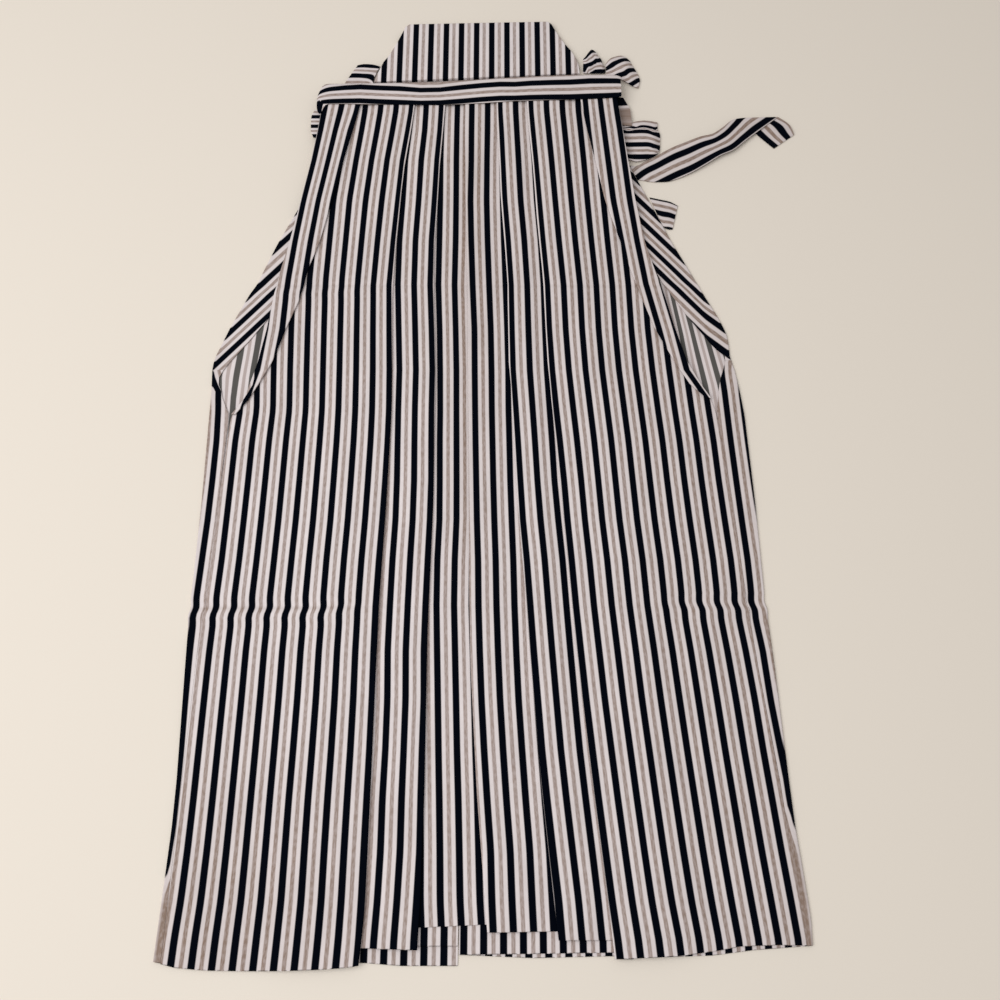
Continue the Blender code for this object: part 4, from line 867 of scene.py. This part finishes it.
def add_cloth(settings, name, rows, flipped=False, thickness=None, hem_turn=0, hem_line=False):
    """One sheet of cloth through rows of (place, stripe count, length along), with its thickness and rim.

    The rim takes the edge's finish along the hem and the cloth's own finish elsewhere. Inside the legs the
    reverse shows the right side again as far up as the hem is turned.
    """
    across = len(rows[0])
    places = [item[0] for row in rows for item in row]
    faces = []
    for line in range(len(rows) - 1):
        for index in range(across - 1):
            corner = line * across + index
            face = (corner, corner + 1, corner + across + 1, corner + across)
            faces.append(face[::-1] if flipped else face)
    mesh = bpy.data.meshes.new(f"{name}_cloth")
    mesh.from_pydata(places, [], faces)
    stripes = np.array([(item[1], item[2] / STRIPE_SPACING) for row in rows for item in row])
    corners = np.zeros(len(mesh.loops), dtype=np.int64)
    mesh.loops.foreach_get("vertex_index", corners)
    layer = mesh.uv_layers.new(name="stripes")
    layer.data.foreach_set("uv", stripes[corners].astype(np.float32).ravel())
    # How far each place is drawn browner and darker: tan stains, and painted shade.
    tan_and_shade = mesh.attributes.new("tan_and_shade", "FLOAT", "POINT")
    tan_and_shade.data.foreach_set("value", [tan_and_shade_at(x / MM + ORIGIN_X, y / MM + ORIGIN_Y) for x, y, _ in places])
    edge = mesh.attributes.new("hem_line", "FLOAT", "POINT")
    at_hem = across if hem_line else 0
    edge.data.foreach_set("value", [1.0] * at_hem + [0.0] * (len(places) - at_hem))
    piece = bpy.data.objects.new(f"{name}_cloth", mesh)
    bpy.context.scene.collection.objects.link(piece)
    for material in finishes(settings):
        mesh.materials.append(material)
    bpy.ops.object.select_all(action="DESELECT")
    piece.select_set(True)
    bpy.context.view_layer.objects.active = piece
    wall = piece.modifiers.new("wall", "SOLIDIFY")
    wall.thickness = thickness * MM if thickness else settings.cloth_thickness
    wall.offset = 0
    wall.use_even_offset = True
    wall.material_offset = REVERSE
    wall.material_offset_rim = RIM
    bpy.ops.object.modifier_apply(modifier=wall.name)
    for polygon in piece.data.polygons:
        inside_hem = polygon.material_index == REVERSE and polygon.center.y < (hem_turn - ORIGIN_Y) * MM
        side_rim = polygon.material_index == RIM and abs(polygon.normal.y) < HEM_FACING
        if inside_hem or side_rim:
            polygon.material_index = RIGHT_SIDE
    bpy.ops.object.shade_smooth_by_angle(angle=math.radians(SMOOTH_ANGLE))
    return piece


def declare(piece, node):
    """Puts a piece under the root and hides the solid that it stands for."""
    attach(piece, "root")
    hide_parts(node)


# ---------------------------------------------------------------- finishes
def linear(red, green, blue):
    """Screen values of 0 to 255 as the linear colour a material takes."""
    parts = []
    for value in (red, green, blue):
        part = value / 255
        parts.append(part / 12.92 if part <= 0.04045 else ((part + 0.055) / 1.055) ** 2.4)
    return tuple(parts)


def new_group(name, inputs, outputs):
    group = bpy.data.node_groups.new(name, "ShaderNodeTree")
    for label, kind, default in inputs:
        socket = group.interface.new_socket(label, in_out="INPUT", socket_type=kind)
        if default is not None:
            socket.default_value = default
    for label, kind in outputs:
        group.interface.new_socket(label, in_out="OUTPUT", socket_type=kind)
    return group


def ramp(group, stops, source):
    """A value that follows stops of (position, value)."""
    node = group.nodes.new("ShaderNodeValToRGB")
    elements = node.color_ramp.elements
    for index, (position, value) in enumerate(stops):
        element = elements[index] if index < 2 else elements.new(position)
        element.position = position
        element.color = (value, value, value, 1)
    group.links.new(source, node.inputs["Fac"])
    return node.outputs["Color"]


def math_node(group, operation, *values):
    """A Math node whose inputs are numbers or other nodes' outputs."""
    node = group.nodes.new("ShaderNodeMath")
    node.operation = operation
    for socket, value in zip(node.inputs, values):
        if isinstance(value, (int, float)):
            socket.default_value = value
        else:
            group.links.new(value, socket)
    return node.outputs["Value"]


def weighted(group, first, first_share, second, second_share):
    """Two values added, each by its share."""
    first_part = math_node(group, "MULTIPLY", first, first_share)
    second_part = math_node(group, "MULTIPLY", second, second_share)
    return math_node(group, "ADD", first_part, second_part)


def mix_colour(group, factor, first, second):
    """A Mix node for colours; its colour sockets are the seventh and eighth in and the third out."""
    node = group.nodes.new("ShaderNodeMix")
    node.data_type = "RGBA"
    for socket, value in ((node.inputs[0], factor), (node.inputs[6], first), (node.inputs[7], second)):
        group.links.new(value, socket)
    return node.outputs[2]


def noise(group, vector, scale, detail):
    """Soft noise with its own scale across the stripes and along them."""
    stretched = group.nodes.new("ShaderNodeVectorMath")
    stretched.operation = "MULTIPLY"
    stretched.inputs[1].default_value = (*scale, 1)
    group.links.new(vector, stretched.inputs[0])
    node = group.nodes.new("ShaderNodeTexNoise")
    node.inputs["Scale"].default_value = 1.0
    node.inputs["Detail"].default_value = detail
    group.links.new(stretched.outputs["Vector"], node.inputs["Vector"])
    return node.outputs["Fac"]


def build_striped_weave():
    """Stripes along the cloth by their count, with fine warp lines, a plain weave and slow unevenness."""
    group = new_group(
        "striped_weave",
        (("Place", "NodeSocketVector", None), ("Tan And Shade", "NodeSocketFloat", 0.0),
         ("Hem Line", "NodeSocketFloat", 0.0), ("Dark", "NodeSocketColor", (0, 0, 0, 1)),
         ("Light", "NodeSocketColor", (1, 1, 1, 1)), ("Beige", "NodeSocketColor", (0.5, 0.4, 0.3, 1)),
         ("Thread", "NodeSocketColor", (0.3, 0.2, 0.1, 1))),
        (("Color", "NodeSocketColor"), ("Roughness", "NodeSocketFloat"), ("Height", "NodeSocketFloat")))
    start = group.nodes.new("NodeGroupInput")
    end = group.nodes.new("NodeGroupOutput")
    place_in = start.outputs["Place"]
    tan_and_shade = start.outputs["Tan And Shade"]
    separate = group.nodes.new("ShaderNodeSeparateXYZ")
    group.links.new(place_in, separate.inputs[0])
    fraction = math_node(group, "FRACT", separate.outputs["X"])
    dark = ramp(group, DARK_STOPS, fraction)
    beige = ramp(group, BEIGE_STOPS, fraction)
    fine = noise(group, place_in, FINE_LINES, 3.0)
    broad = noise(group, place_in, BROAD_LINES, 2.0)
    slow = noise(group, place_in, SLOW_SHADE, 3.0)
    weave = noise(group, place_in, PLAIN_WEAVE, 1.0)
    lines = ramp(group, THREAD_STOPS, weighted(group, fine, FINE_SHARE, broad, BROAD_SHARE))
    # The tan-and-shade input draws the beige and the light stripes towards the brown thread: tan stains, and
    # painted shade.
    beige_share = weighted(group, lines, BEIGE_LINES, tan_and_shade, BEIGE_TAN_AND_SHADE)
    beige_colour = mix_colour(group, beige_share, start.outputs["Beige"], start.outputs["Thread"])
    light_share = weighted(group, lines, LIGHT_LINES, tan_and_shade, LIGHT_TAN_AND_SHADE)
    light_colour = mix_colour(group, light_share, start.outputs["Light"], start.outputs["Thread"])
    pale = mix_colour(group, beige, light_colour, beige_colour)
    striped = mix_colour(group, dark, pale, start.outputs["Dark"])
    dashes = ramp(group, DASH_STOPS, noise(group, place_in, HEM_DASHES, 2.0))
    hem_line = math_node(group, "MULTIPLY", start.outputs["Hem Line"], dashes)
    unlined = math_node(group, "SUBTRACT", 1.0, math_node(group, "MULTIPLY", hem_line, HEM_LINE_SHARE))
    shade = group.nodes.new("ShaderNodeMapRange")
    for label, value in zip(("From Min", "From Max", "To Min", "To Max"), (*SHADE_FROM, *SHADE_TO)):
        shade.inputs[label].default_value = value
    group.links.new(slow, shade.inputs["Value"])
    toned = group.nodes.new("ShaderNodeVectorMath")
    toned.operation = "SCALE"
    group.links.new(striped, toned.inputs[0])
    group.links.new(math_node(group, "MULTIPLY", shade.outputs["Result"], unlined), toned.inputs["Scale"])
    group.links.new(toned.outputs["Vector"], end.inputs["Color"])
    group.links.new(weighted(group, weave, WEAVE_HEIGHT, fine, FINE_HEIGHT), end.inputs["Height"])
    rough = math_node(group, "ADD", math_node(group, "MULTIPLY", weave, ROUGHNESS_CHANGE), ROUGHNESS)
    group.links.new(rough, end.inputs["Roughness"])
    return group


def striped_cloth(name, group, dark, light, beige, thread):
    """A material of the striped weave in its own colours."""
    material = bpy.data.materials.new(name)
    material.use_nodes = True
    tree = material.node_tree
    shader = tree.nodes["Principled BSDF"]
    weave = tree.nodes.new("ShaderNodeGroup")
    weave.node_tree = group
    for label, colour in (("Dark", dark), ("Light", light), ("Beige", beige), ("Thread", thread)):
        weave.inputs[label].default_value = (*colour, 1)
    stripes = tree.nodes.new("ShaderNodeUVMap")
    stripes.uv_map = "stripes"
    tree.links.new(stripes.outputs["UV"], weave.inputs["Place"])
    # The tan-and-shade attribute carries tan stains and painted shade into the weave.
    for attribute, label in (("tan_and_shade", "Tan And Shade"), ("hem_line", "Hem Line")):
        node = tree.nodes.new("ShaderNodeAttribute")
        node.attribute_name = attribute
        tree.links.new(node.outputs["Fac"], weave.inputs[label])
    tree.links.new(weave.outputs["Color"], shader.inputs["Base Color"])
    tree.links.new(weave.outputs["Roughness"], shader.inputs["Roughness"])
    relief = tree.nodes.new("ShaderNodeBump")
    relief.inputs["Strength"].default_value = BUMP_STRENGTH
    relief.inputs["Distance"].default_value = BUMP_DISTANCE
    tree.links.new(weave.outputs["Height"], relief.inputs["Height"])
    tree.links.new(relief.outputs["Normal"], shader.inputs["Normal"])
    shader.inputs["Specular IOR Level"].default_value = CLOTH_SHINE
    return material


class HakamaSettings(PropertyGroup):
    cloth_thickness: FloatProperty(
        name="Cloth Thickness", description="Thickness of one layer of cloth",
        default=0.0006, min=0.0002, max=0.001, precision=4, unit="LENGTH")
    dark: FloatVectorProperty(
        name="Dark Stripe", description="Colour of the broad dark stripes",
        subtype="COLOR", default=linear(2, 5, 14))
    light: FloatVectorProperty(
        name="Light Stripe", description="Colour of the pale stripes",
        subtype="COLOR", default=linear(228, 219, 219))
    beige: FloatVectorProperty(
        name="Middle Stripe", description="Colour of the beige stripes",
        subtype="COLOR", default=linear(184, 170, 166))
    thread: FloatVectorProperty(
        name="Brown Thread", description="Colour of the fine lines in the beige",
        subtype="COLOR", default=linear(140, 120, 108))
    reverse_dark: FloatVectorProperty(
        name="Reverse Dark Stripe", description="Colour of the dark stripes on the reverse",
        subtype="COLOR", default=linear(90, 88, 85))
    edge: FloatVectorProperty(
        name="Cut Edge", description="Colour along hems and edges",
        subtype="COLOR", default=linear(120, 104, 92))


class StageSettings(PropertyGroup):
    floor: FloatVectorProperty(
        name="Floor Colour", description="Colour of the plain floor",
        subtype="COLOR", default=linear(232, 223, 211))
    key_power: FloatProperty(
        name="Key Light", description="Power of the large soft light on the left",
        default=37.5, min=0.0, unit="POWER")
    overhead_power: FloatProperty(
        name="Overhead Light", description="Power of the soft light above the cloth",
        default=1.5, min=0.0, unit="POWER")
    room_light: FloatProperty(
        name="Room Light", description="Strength of the even light from all round", default=0.485, min=0.0)


def finishes(settings):
    """The cloth's right side, its reverse and its edges, made once and shared."""
    names = ("striped_cloth", "striped_cloth_reverse", "cloth_edge")
    if names[0] not in bpy.data.materials:
        group = build_striped_weave()
        striped_cloth(names[0], group, settings.dark, settings.light, settings.beige, settings.thread)
        striped_cloth(names[1], group, settings.reverse_dark, settings.light, settings.beige, settings.beige)
        striped_cloth(names[2], group, settings.dark, settings.edge, settings.edge, settings.edge)
    return [bpy.data.materials[name] for name in names]


# ---------------------------------------------------------------- ties
def resampled(row):
    """Even points across a tie through the points of one row of its table."""
    values = np.array(row, dtype=float)
    steps = np.hypot(values[1:, 0] - values[:-1, 0], values[1:, 1] - values[:-1, 1])
    distance = np.concatenate(([0.0], np.cumsum(steps)))
    at = np.linspace(0, distance[-1], TIE_ACROSS)
    return np.stack([np.interp(at, distance, values[:, index]) for index in range(len(TIE_COLUMNS))], axis=1)


def tie_rows(table):
    """Rows across a tie from its table, with smooth rows added, however unevenly the table is spaced."""
    values = [resampled(row) for row in table]
    steps = [after - before for before, after in zip(values, values[1:])]
    spans = [float(np.linalg.norm(step[:, :2], axis=1).mean()) for step in steps]
    slopes = [step / span for step, span in zip(steps, spans)]
    bends = [slopes[0]]
    for before, after, left, right in zip(slopes, slopes[1:], spans, spans[1:]):
        bends.append((before * right + after * left) / (left + right))
    bends.append(slopes[-1])
    fine = []
    for index, span in enumerate(spans):
        for step in range(TIE_PIECES):
            t = step / TIE_PIECES
            start = (1 + 2 * t) * (1 - t) ** 2
            point = start * values[index] + (1 - start) * values[index + 1]
            point += span * (t * (1 - t) ** 2 * bends[index] - t ** 2 * (1 - t) * bends[index + 1])
            fine.append(point)
    fine.append(values[-1])
    return fine


def placed(rows):
    """Rows of (place, stripe count, length along) from rows of tie points."""
    grid = []
    length = 0.0
    before = rows[0]
    for row in rows:
        length += float(np.linalg.norm(row[:, :2].mean(axis=0) - before[:, :2].mean(axis=0)))
        before = row
        grid.append([(place(x, height, z), count, length) for x, height, z, count in row])
    return grid


def doubled(rows, under):
    """A tie laid back on itself: out along its under layer, round at the far end, and home on top."""
    low = [row.copy() for row in rows]
    for row in low:
        row[:, 2] = under
    last = rows[-1]
    outward = last[:, :2] - rows[-2][:, :2]
    outward /= np.linalg.norm(outward, axis=1, keepdims=True)
    turn = []
    for step in range(1, FOLD_STEPS):
        angle = math.pi * step / FOLD_STEPS
        row = last.copy()
        row[:, :2] += outward * PITCH / 2 * math.sin(angle)
        row[:, 2] = under + (last[:, 2] - under) * (1 - math.cos(angle)) / 2
        turn.append(row)
    return low + turn + rows[::-1]


def zigzag(start, far, layers, floor_level, pitch, count, edge):
    """Points of (x, z) along a strip folded to and fro between two sides."""
    points = []
    for layer in range(layers):
        z = floor_level + pitch * layer
        near_x, far_x = (start, far) if layer % 2 == 0 else (far, start)
        side = 1 if far_x > near_x else -1
        radius = pitch / 2 + edge
        first = near_x + side * radius if layer > 0 else near_x
        last = far_x - side * radius if layer < layers - 1 else far_x
        for step in range(count):
            points.append((first + (last - first) * step / (count - 1), z))
        if layer < layers - 1:
            points += [point[:2] for point in turned_fold(far_x, z, z + pitch, side, 0, edge)[1:-1]]
    return points


def band_count(height, top_line, low_line, curled):
    """Stripe count on the waistband's front, from the lines where its first and second stripes begin."""
    count = (top_line - height) / (top_line - low_line)
    # In the curl the count stops at the dark stripe: painted shade in place of the shaded pale cloth.
    return min(count, 1) if curled else count


def add_to_stage(context, name, data, place_in_room, tilt=(0, 0)):
    """A light or camera in the room, tilted by degrees about x and y."""
    item = bpy.data.objects.new(name, data)
    item.location = place_in_room
    item.rotation_euler = (math.radians(tilt[0]), math.radians(tilt[1]), 0)
    context.scene.collection.objects.link(item)
    return item


def new_area_light(name, shape, size, power):
    light = bpy.data.lights.new(name, "AREA")
    light.shape = shape
    light.size = size
    light.energy = power
    return light


# ---------------------------------------------------------------- operators
class HAKAMA_OT_backs(Operator):
    """The two backs on the ground, wrapped round to the front at the sides"""
    bl_idname = "hakama.backs"
    bl_label = "Backs"

    def execute(self, context):
        settings = context.scene.hakama
        half = settings.cloth_thickness / MM / 2
        left_top = LEFT_BACK[-1][1]
        slope = (BACK_TOP_RIGHT - BACK_TOP_LEFT) / (RIGHT_BACK[-1][1] - left_top)
        for name, table, hem, side in (("back_left", LEFT_BACK, LEFT_BACK_HEM, -1),
                                       ("back_right", RIGHT_BACK, RIGHT_BACK_HEM, 1)):
            def section(height, edge, table=table, hem=hem, side=side):
                return back_section(table, hem, side, height, edge)

            rows = hem_and_level_rows(section, BACK_TOP_LEFT - ROW_SPACING, half)
            top = []
            for x, z, _, count in section(table[-1][0], half):
                height = BACK_TOP_LEFT + (x - left_top) * slope
                top.append((place(x, height, z), count, height))
            rows.append(top)
            piece = add_cloth(settings, name, rows, flipped=side > 0, hem_turn=HEM_TURN, hem_line=True)
            declare(piece, name)
        return {"FINISHED"}


class HAKAMA_OT_gussets(Operator):
    """The narrow triangles that widen the legs from the crotch to the hem"""
    bl_idname = "hakama.gussets"
    bl_label = "Gussets"

    def execute(self, context):
        settings = context.scene.hakama
        for name, outer, hems, side, stripe, under in (
                ("gusset_left", LEFT_GUSSET_OUTER, LEFT_GUSSET_HEM, -1, GUSSET_STRIPE_LEFT, "back_left"),
                ("gusset_right", RIGHT_GUSSET_OUTER, RIGHT_GUSSET_HEM, 1, GUSSET_STRIPE_RIGHT, "back_right")):
            rows = []
            for height in (0, HEM_LINE, *level_heights(0, GUSSET_TOP)[1:]):
                seam = centre_seam(height) + side * GUSSET_EDGE_INSET
                narrow = seam + side * GUSSET_TOP_WIDTH
                far = outer + (narrow - outer) * height / GUSSET_TOP
                row = []
                for step in range(GUSSET_POINTS):
                    t = step / (GUSSET_POINTS - 1)
                    x = seam + (far - seam) * t
                    hem = hems[0] + (hems[1] - hems[0]) * t
                    y = hem + (GUSSET_TOP - hem) * height / GUSSET_TOP
                    row.append((place(x, y, WRAP_LAYER), (x - stripe[0]) / stripe[1], y))
                rows.append(row)
            piece = add_cloth(settings, name, rows, flipped=side < 0, hem_line=True)
            declare(piece, name)
        return {"FINISHED"}


class HAKAMA_OT_fronts(Operator):
    """The two pleated fronts and the folded pleats at their sides"""
    bl_idname = "hakama.fronts"
    bl_label = "Fronts"

    def execute(self, context):
        settings = context.scene.hakama
        half = settings.cloth_thickness / MM / 2
        for name, section, flipped, under in (("front_left", left_front_section, False, "back_left"),
                                              ("front_right", right_front_section, True, "back_right")):
            rows = hem_and_level_rows(section, FRONT_TOP, half)
            piece = add_cloth(settings, name, rows, flipped, hem_line=True)
            declare(piece, name)
        for name, table, stripes, side, under in (
                ("side_pleat_left", LEFT_SIDE_PLEAT, LEFT_SIDE_STRIPES, 1, "front_left"),
                ("side_pleat_right", RIGHT_SIDE_PLEAT, RIGHT_SIDE_STRIPES, -1, "front_right")):
            rows = []
            for height in level_heights(table[0][0], FRONT_TOP):
                section = side_pleat_section(table, stripes, side, height, half)
                rows.append([(place(x, height, z), count, height) for x, z, _, count in section])
            piece = add_cloth(settings, name, rows, flipped=side > 0)
            declare(piece, name)
        return {"FINISHED"}


class HAKAMA_OT_band(Operator):
    """The front waistband, folded over its top edge"""
    bl_idname = "hakama.band"
    bl_label = "Waistband"

    def execute(self, context):
        radius = PITCH * BAND_LAYERS / 2
        base = lying(0, FRONT_TOP) - PITCH
        stations = [BAND_SECTIONS[0][0]]
        for before, after in zip(BAND_SECTIONS, BAND_SECTIONS[1:]):
            steps = math.ceil((after[0] - before[0]) / BAND_STEP)
            stations += [before[0] + (after[0] - before[0]) * step / steps for step in range(1, steps + 1)]
        rows = []
        for x in stations:
            lower, upper, *lines = (read(BAND_SECTIONS, BAND_COLUMNS, name, x) for name in BAND_COLUMNS[1:])
            centre = upper - radius - WALL / 2
            curled = x < BAND_CURL
            at_edge = 2 * band_count(upper, *lines, curled)
            row = []
            for part in range(BAND_POINTS):
                height = lower + (centre - lower) * part / BAND_POINTS
                row.append((place(x, height, base), at_edge - band_count(height, *lines, curled), x))
            for part in range(BAND_POINTS + 1):
                angle = math.pi * part / BAND_POINTS
                height = centre + radius * math.sin(angle)
                count = band_count(height, *lines, curled)
                if part <= BAND_POINTS / 2:
                    count = at_edge - count
                row.append((place(x, height, base + radius - radius * math.cos(angle)), count, x))
            for part in range(1, BAND_POINTS + 1):
                height = centre + (lower - centre) * part / BAND_POINTS
                row.append((place(x, height, base + 2 * radius), band_count(height, *lines, curled), x))
            rows.append(row)
        piece = add_cloth(context.scene.hakama, "front_band", rows)
        declare(piece, "front_band")
        return {"FINISHED"}


class HAKAMA_OT_board(Operator):
    """The stiff board at the small of the back, covered in the cloth"""
    bl_idname = "hakama.board"
    bl_label = "Board"

    def execute(self, context):
        bpy.ops.object.select_all(action="DESELECT")
        curve = bpy.data.curves.new("back_board_cloth", "CURVE")
        curve.dimensions = "2D"
        curve.fill_mode = "BOTH"
        curve.extrude = (BOARD_THICKNESS / 2 - BOARD_ROUNDING) * MM
        curve.bevel_depth = BOARD_ROUNDING * MM
        curve.offset = -BOARD_ROUNDING * MM
        curve.bevel_resolution = BOARD_ROUNDING_STEPS
        spline = curve.splines.new("POLY")
        spline.points.add(len(BOARD_OUTLINE) - 1)
        for point, (x, height) in zip(spline.points, BOARD_OUTLINE):
            point.co = (*place(x, height, BOARD_THICKNESS)[:2], 0, 1)
        spline.use_cyclic_u = True
        board = bpy.data.objects.new("back_board_cloth", curve)
        bpy.context.scene.collection.objects.link(board)
        board.select_set(True)
        bpy.context.view_layer.objects.active = board
        bpy.ops.object.convert(target="MESH")
        bpy.ops.object.mode_set(mode="EDIT")
        bpy.ops.mesh.select_all(action="SELECT")
        bpy.ops.mesh.remove_doubles(threshold=MERGE_DISTANCE)
        bpy.ops.mesh.normals_make_consistent(inside=False)
        bpy.ops.transform.translate(value=(0, 0, BOARD_THICKNESS / 2 * MM))
        bpy.ops.object.mode_set(mode="OBJECT")
        mesh = board.data
        mesh.materials.clear()
        mesh.materials.append(finishes(context.scene.hakama)[RIGHT_SIDE])
        layer = mesh.uv_layers.new(name="stripes")
        nearer = 1 - BOARD_THICKNESS / SIGHT_HEIGHT
        for loop in mesh.loops:
            at = mesh.vertices[loop.vertex_index].co
            x = (at.x / MM + ORIGIN_X) / nearer
            layer.data[loop.index].uv = ((x - BOARD_STRIPE[0]) / BOARD_STRIPE[1], at.y / MM / STRIPE_SPACING)
        bpy.ops.object.shade_smooth_by_angle(angle=math.radians(BOARD_SMOOTH_ANGLE))
        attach(board, "root")
        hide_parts("back_board")
        return {"FINISHED"}


class HAKAMA_OT_ties(Operator):
    """The ties: each stretch that shows, and the ones folded away inside the waist"""
    bl_idname = "hakama.ties"
    bl_label = "Ties"

    def execute(self, context):
        settings = context.scene.hakama
        for name, table, under, rests_on, flipped in TIES:
            rows = tie_rows(table)
            if under is not None:
                rows = doubled(rows, under)
            piece = add_cloth(settings, name, placed(rows), flipped)
            declare(piece, name)
        self.add_left_fold(settings)
        self.add_folded_ties(settings)
        return {"FINISHED"}

    def add_left_fold(self, settings):
        half = settings.cloth_thickness / MM / 2
        lowest = lying(0, FRONT_TOP) - PITCH * LEFT_FOLD_LAYERS
        low, high = LEFT_FOLD_HEIGHTS[0], LEFT_FOLD_HEIGHTS[-1]
        rows = []
        for step in range(LEFT_FOLD_ROWS + 1):
            height = low + (high - low) * step / LEFT_FOLD_ROWS
            outer = float(np.interp(height, LEFT_FOLD_HEIGHTS, LEFT_FOLD_OUTER))
            count = (LEFT_FOLD_STRIPES_AT - height) / STRIPE_SPACING * LEFT_FOLD_SQUEEZE
            row = zigzag(LEFT_FOLD_INNER, outer, LEFT_FOLD_LAYERS, lowest, PITCH, LEFT_FOLD_POINTS, half)
            rows.append([(place(x, height, z), count, x) for x, z in row])
        piece = add_cloth(settings, "tie_fold_left", rows)
        declare(piece, "tie_fold_left")

    def add_folded_ties(self, settings):
        foot = WRAP_LAYER + WALL / 2 + GAP
        band_from = FOLDED_TIES_UNDER_BAND - FOLDED_TIES_BLEND
        band_to = FOLDED_TIES_UNDER_BAND + FOLDED_TIES_BLEND
        rows = []
        for height in level_heights(FOLDED_TIES_FOOT, FOLDED_TIES_TOP):
            ceiling = lying(0, height) - WALL / 2 - GAP
            ceiling -= PITCH * smooth(height, band_from, band_to)
            pitch = (ceiling - foot - 2 * FOLDED_TIES_ROOM) / (FOLDED_TIES_LAYERS - 1)
            count = (height - FOLDED_TIES_STRIPES_AT) / STRIPE_SPACING
            row = zigzag(FOLDED_TIES_LEFT, FOLDED_TIES_RIGHT, FOLDED_TIES_LAYERS, foot + FOLDED_TIES_ROOM,
                         pitch, FOLDED_TIES_POINTS, FOLDED_TIES_EDGE)
            rows.append([(place(x, height, z), count, x) for x, z in row])
        piece = add_cloth(settings, "ties_folded", rows, thickness=FOLDED_TIES_THICKNESS)
        declare(piece, "ties_folded")


class HAKAMA_OT_stage(Operator):
    """A plain pale floor, soft studio light and the camera above the hem"""
    bl_idname = "hakama.stage"
    bl_label = "Stage"

    def execute(self, context):
        settings = context.scene.hakama_stage
        bpy.ops.object.select_all(action="DESELECT")
        bpy.ops.mesh.primitive_plane_add(size=FLOOR_SIZE, location=(0, 0, -FLOOR_DROP))
        floor = context.active_object
        floor.name = "floor"
        bpy.ops.object.transform_apply(location=True, rotation=True, scale=True)
        material = bpy.data.materials.new("pale_floor")
        material.use_nodes = True
        shader = material.node_tree.nodes["Principled BSDF"]
        shader.inputs["Base Color"].default_value = (*settings.floor, 1)
        shader.inputs["Roughness"].default_value = FLOOR_ROUGHNESS
        shader.inputs["Specular IOR Level"].default_value = FLOOR_SHINE
        floor.data.materials.append(material)
        world = bpy.data.worlds.new("soft_room")
        world.use_nodes = True
        background = world.node_tree.nodes["Background"]
        background.inputs["Color"].default_value = ROOM_COLOUR
        background.inputs["Strength"].default_value = settings.room_light
        context.scene.world = world
        key = new_area_light("key_light", "RECTANGLE", KEY_SIZE[0], settings.key_power)
        key.size_y = KEY_SIZE[1]
        add_to_stage(context, "key_light", key, KEY_PLACE, KEY_TILT)
        overhead = new_area_light("overhead_light", "DISK", OVERHEAD_SIZE, settings.overhead_power)
        add_to_stage(context, "overhead_light", overhead, OVERHEAD_PLACE)
        lens = bpy.data.cameras.new("view_from_above")
        lens.lens = CAMERA_LENS
        lens.sensor_width = CAMERA_LENS
        lens.sensor_fit = "HORIZONTAL"
        above = ((SIGHT_FOOT[0] - ORIGIN_X) * MM, (SIGHT_FOOT[1] - ORIGIN_Y) * MM, CAMERA_HEIGHT)
        context.scene.camera = add_to_stage(context, "view_from_above", lens, above, (CAMERA_TILT, 0))
        context.scene.view_settings.view_transform = "Standard"
        return {"FINISHED"}


class HAKAMA_PT_panel(Panel):
    """Lists the parts of the hakama"""
    bl_idname = "HAKAMA_PT_panel"
    bl_label = "Hakama"
    bl_space_type = "VIEW_3D"
    bl_region_type = "UI"
    bl_category = "Hakama"

    def draw(self, context):
        layout = self.layout
        for name in ("cloth_thickness", "dark", "light", "beige", "thread", "reverse_dark", "edge"):
            layout.prop(context.scene.hakama, name)
        for name in ("floor", "key_power", "overhead_power", "room_light"):
            layout.prop(context.scene.hakama_stage, name)
        for operator in OPERATORS:
            layout.operator(operator.bl_idname)


OPERATORS = (
    HAKAMA_OT_backs, HAKAMA_OT_gussets, HAKAMA_OT_fronts, HAKAMA_OT_band, HAKAMA_OT_board, HAKAMA_OT_ties,
    HAKAMA_OT_stage,
)
CLASSES = (HakamaSettings, StageSettings, *OPERATORS, HAKAMA_PT_panel)


def register():
    for item in CLASSES:
        bpy.utils.register_class(item)
    bpy.types.Scene.hakama = PointerProperty(type=HakamaSettings)
    bpy.types.Scene.hakama_stage = PointerProperty(type=StageSettings)


def unregister():
    del bpy.types.Scene.hakama_stage
    del bpy.types.Scene.hakama
    for item in reversed(CLASSES):
        bpy.utils.unregister_class(item)


def main():
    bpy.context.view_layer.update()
    register()
    bpy.ops.hakama.backs()
    bpy.ops.hakama.gussets()
    bpy.ops.hakama.fronts()
    bpy.ops.hakama.band()
    bpy.ops.hakama.board()
    bpy.ops.hakama.ties()
    bpy.ops.hakama.stage()


if __name__ == "__main__":
    main()
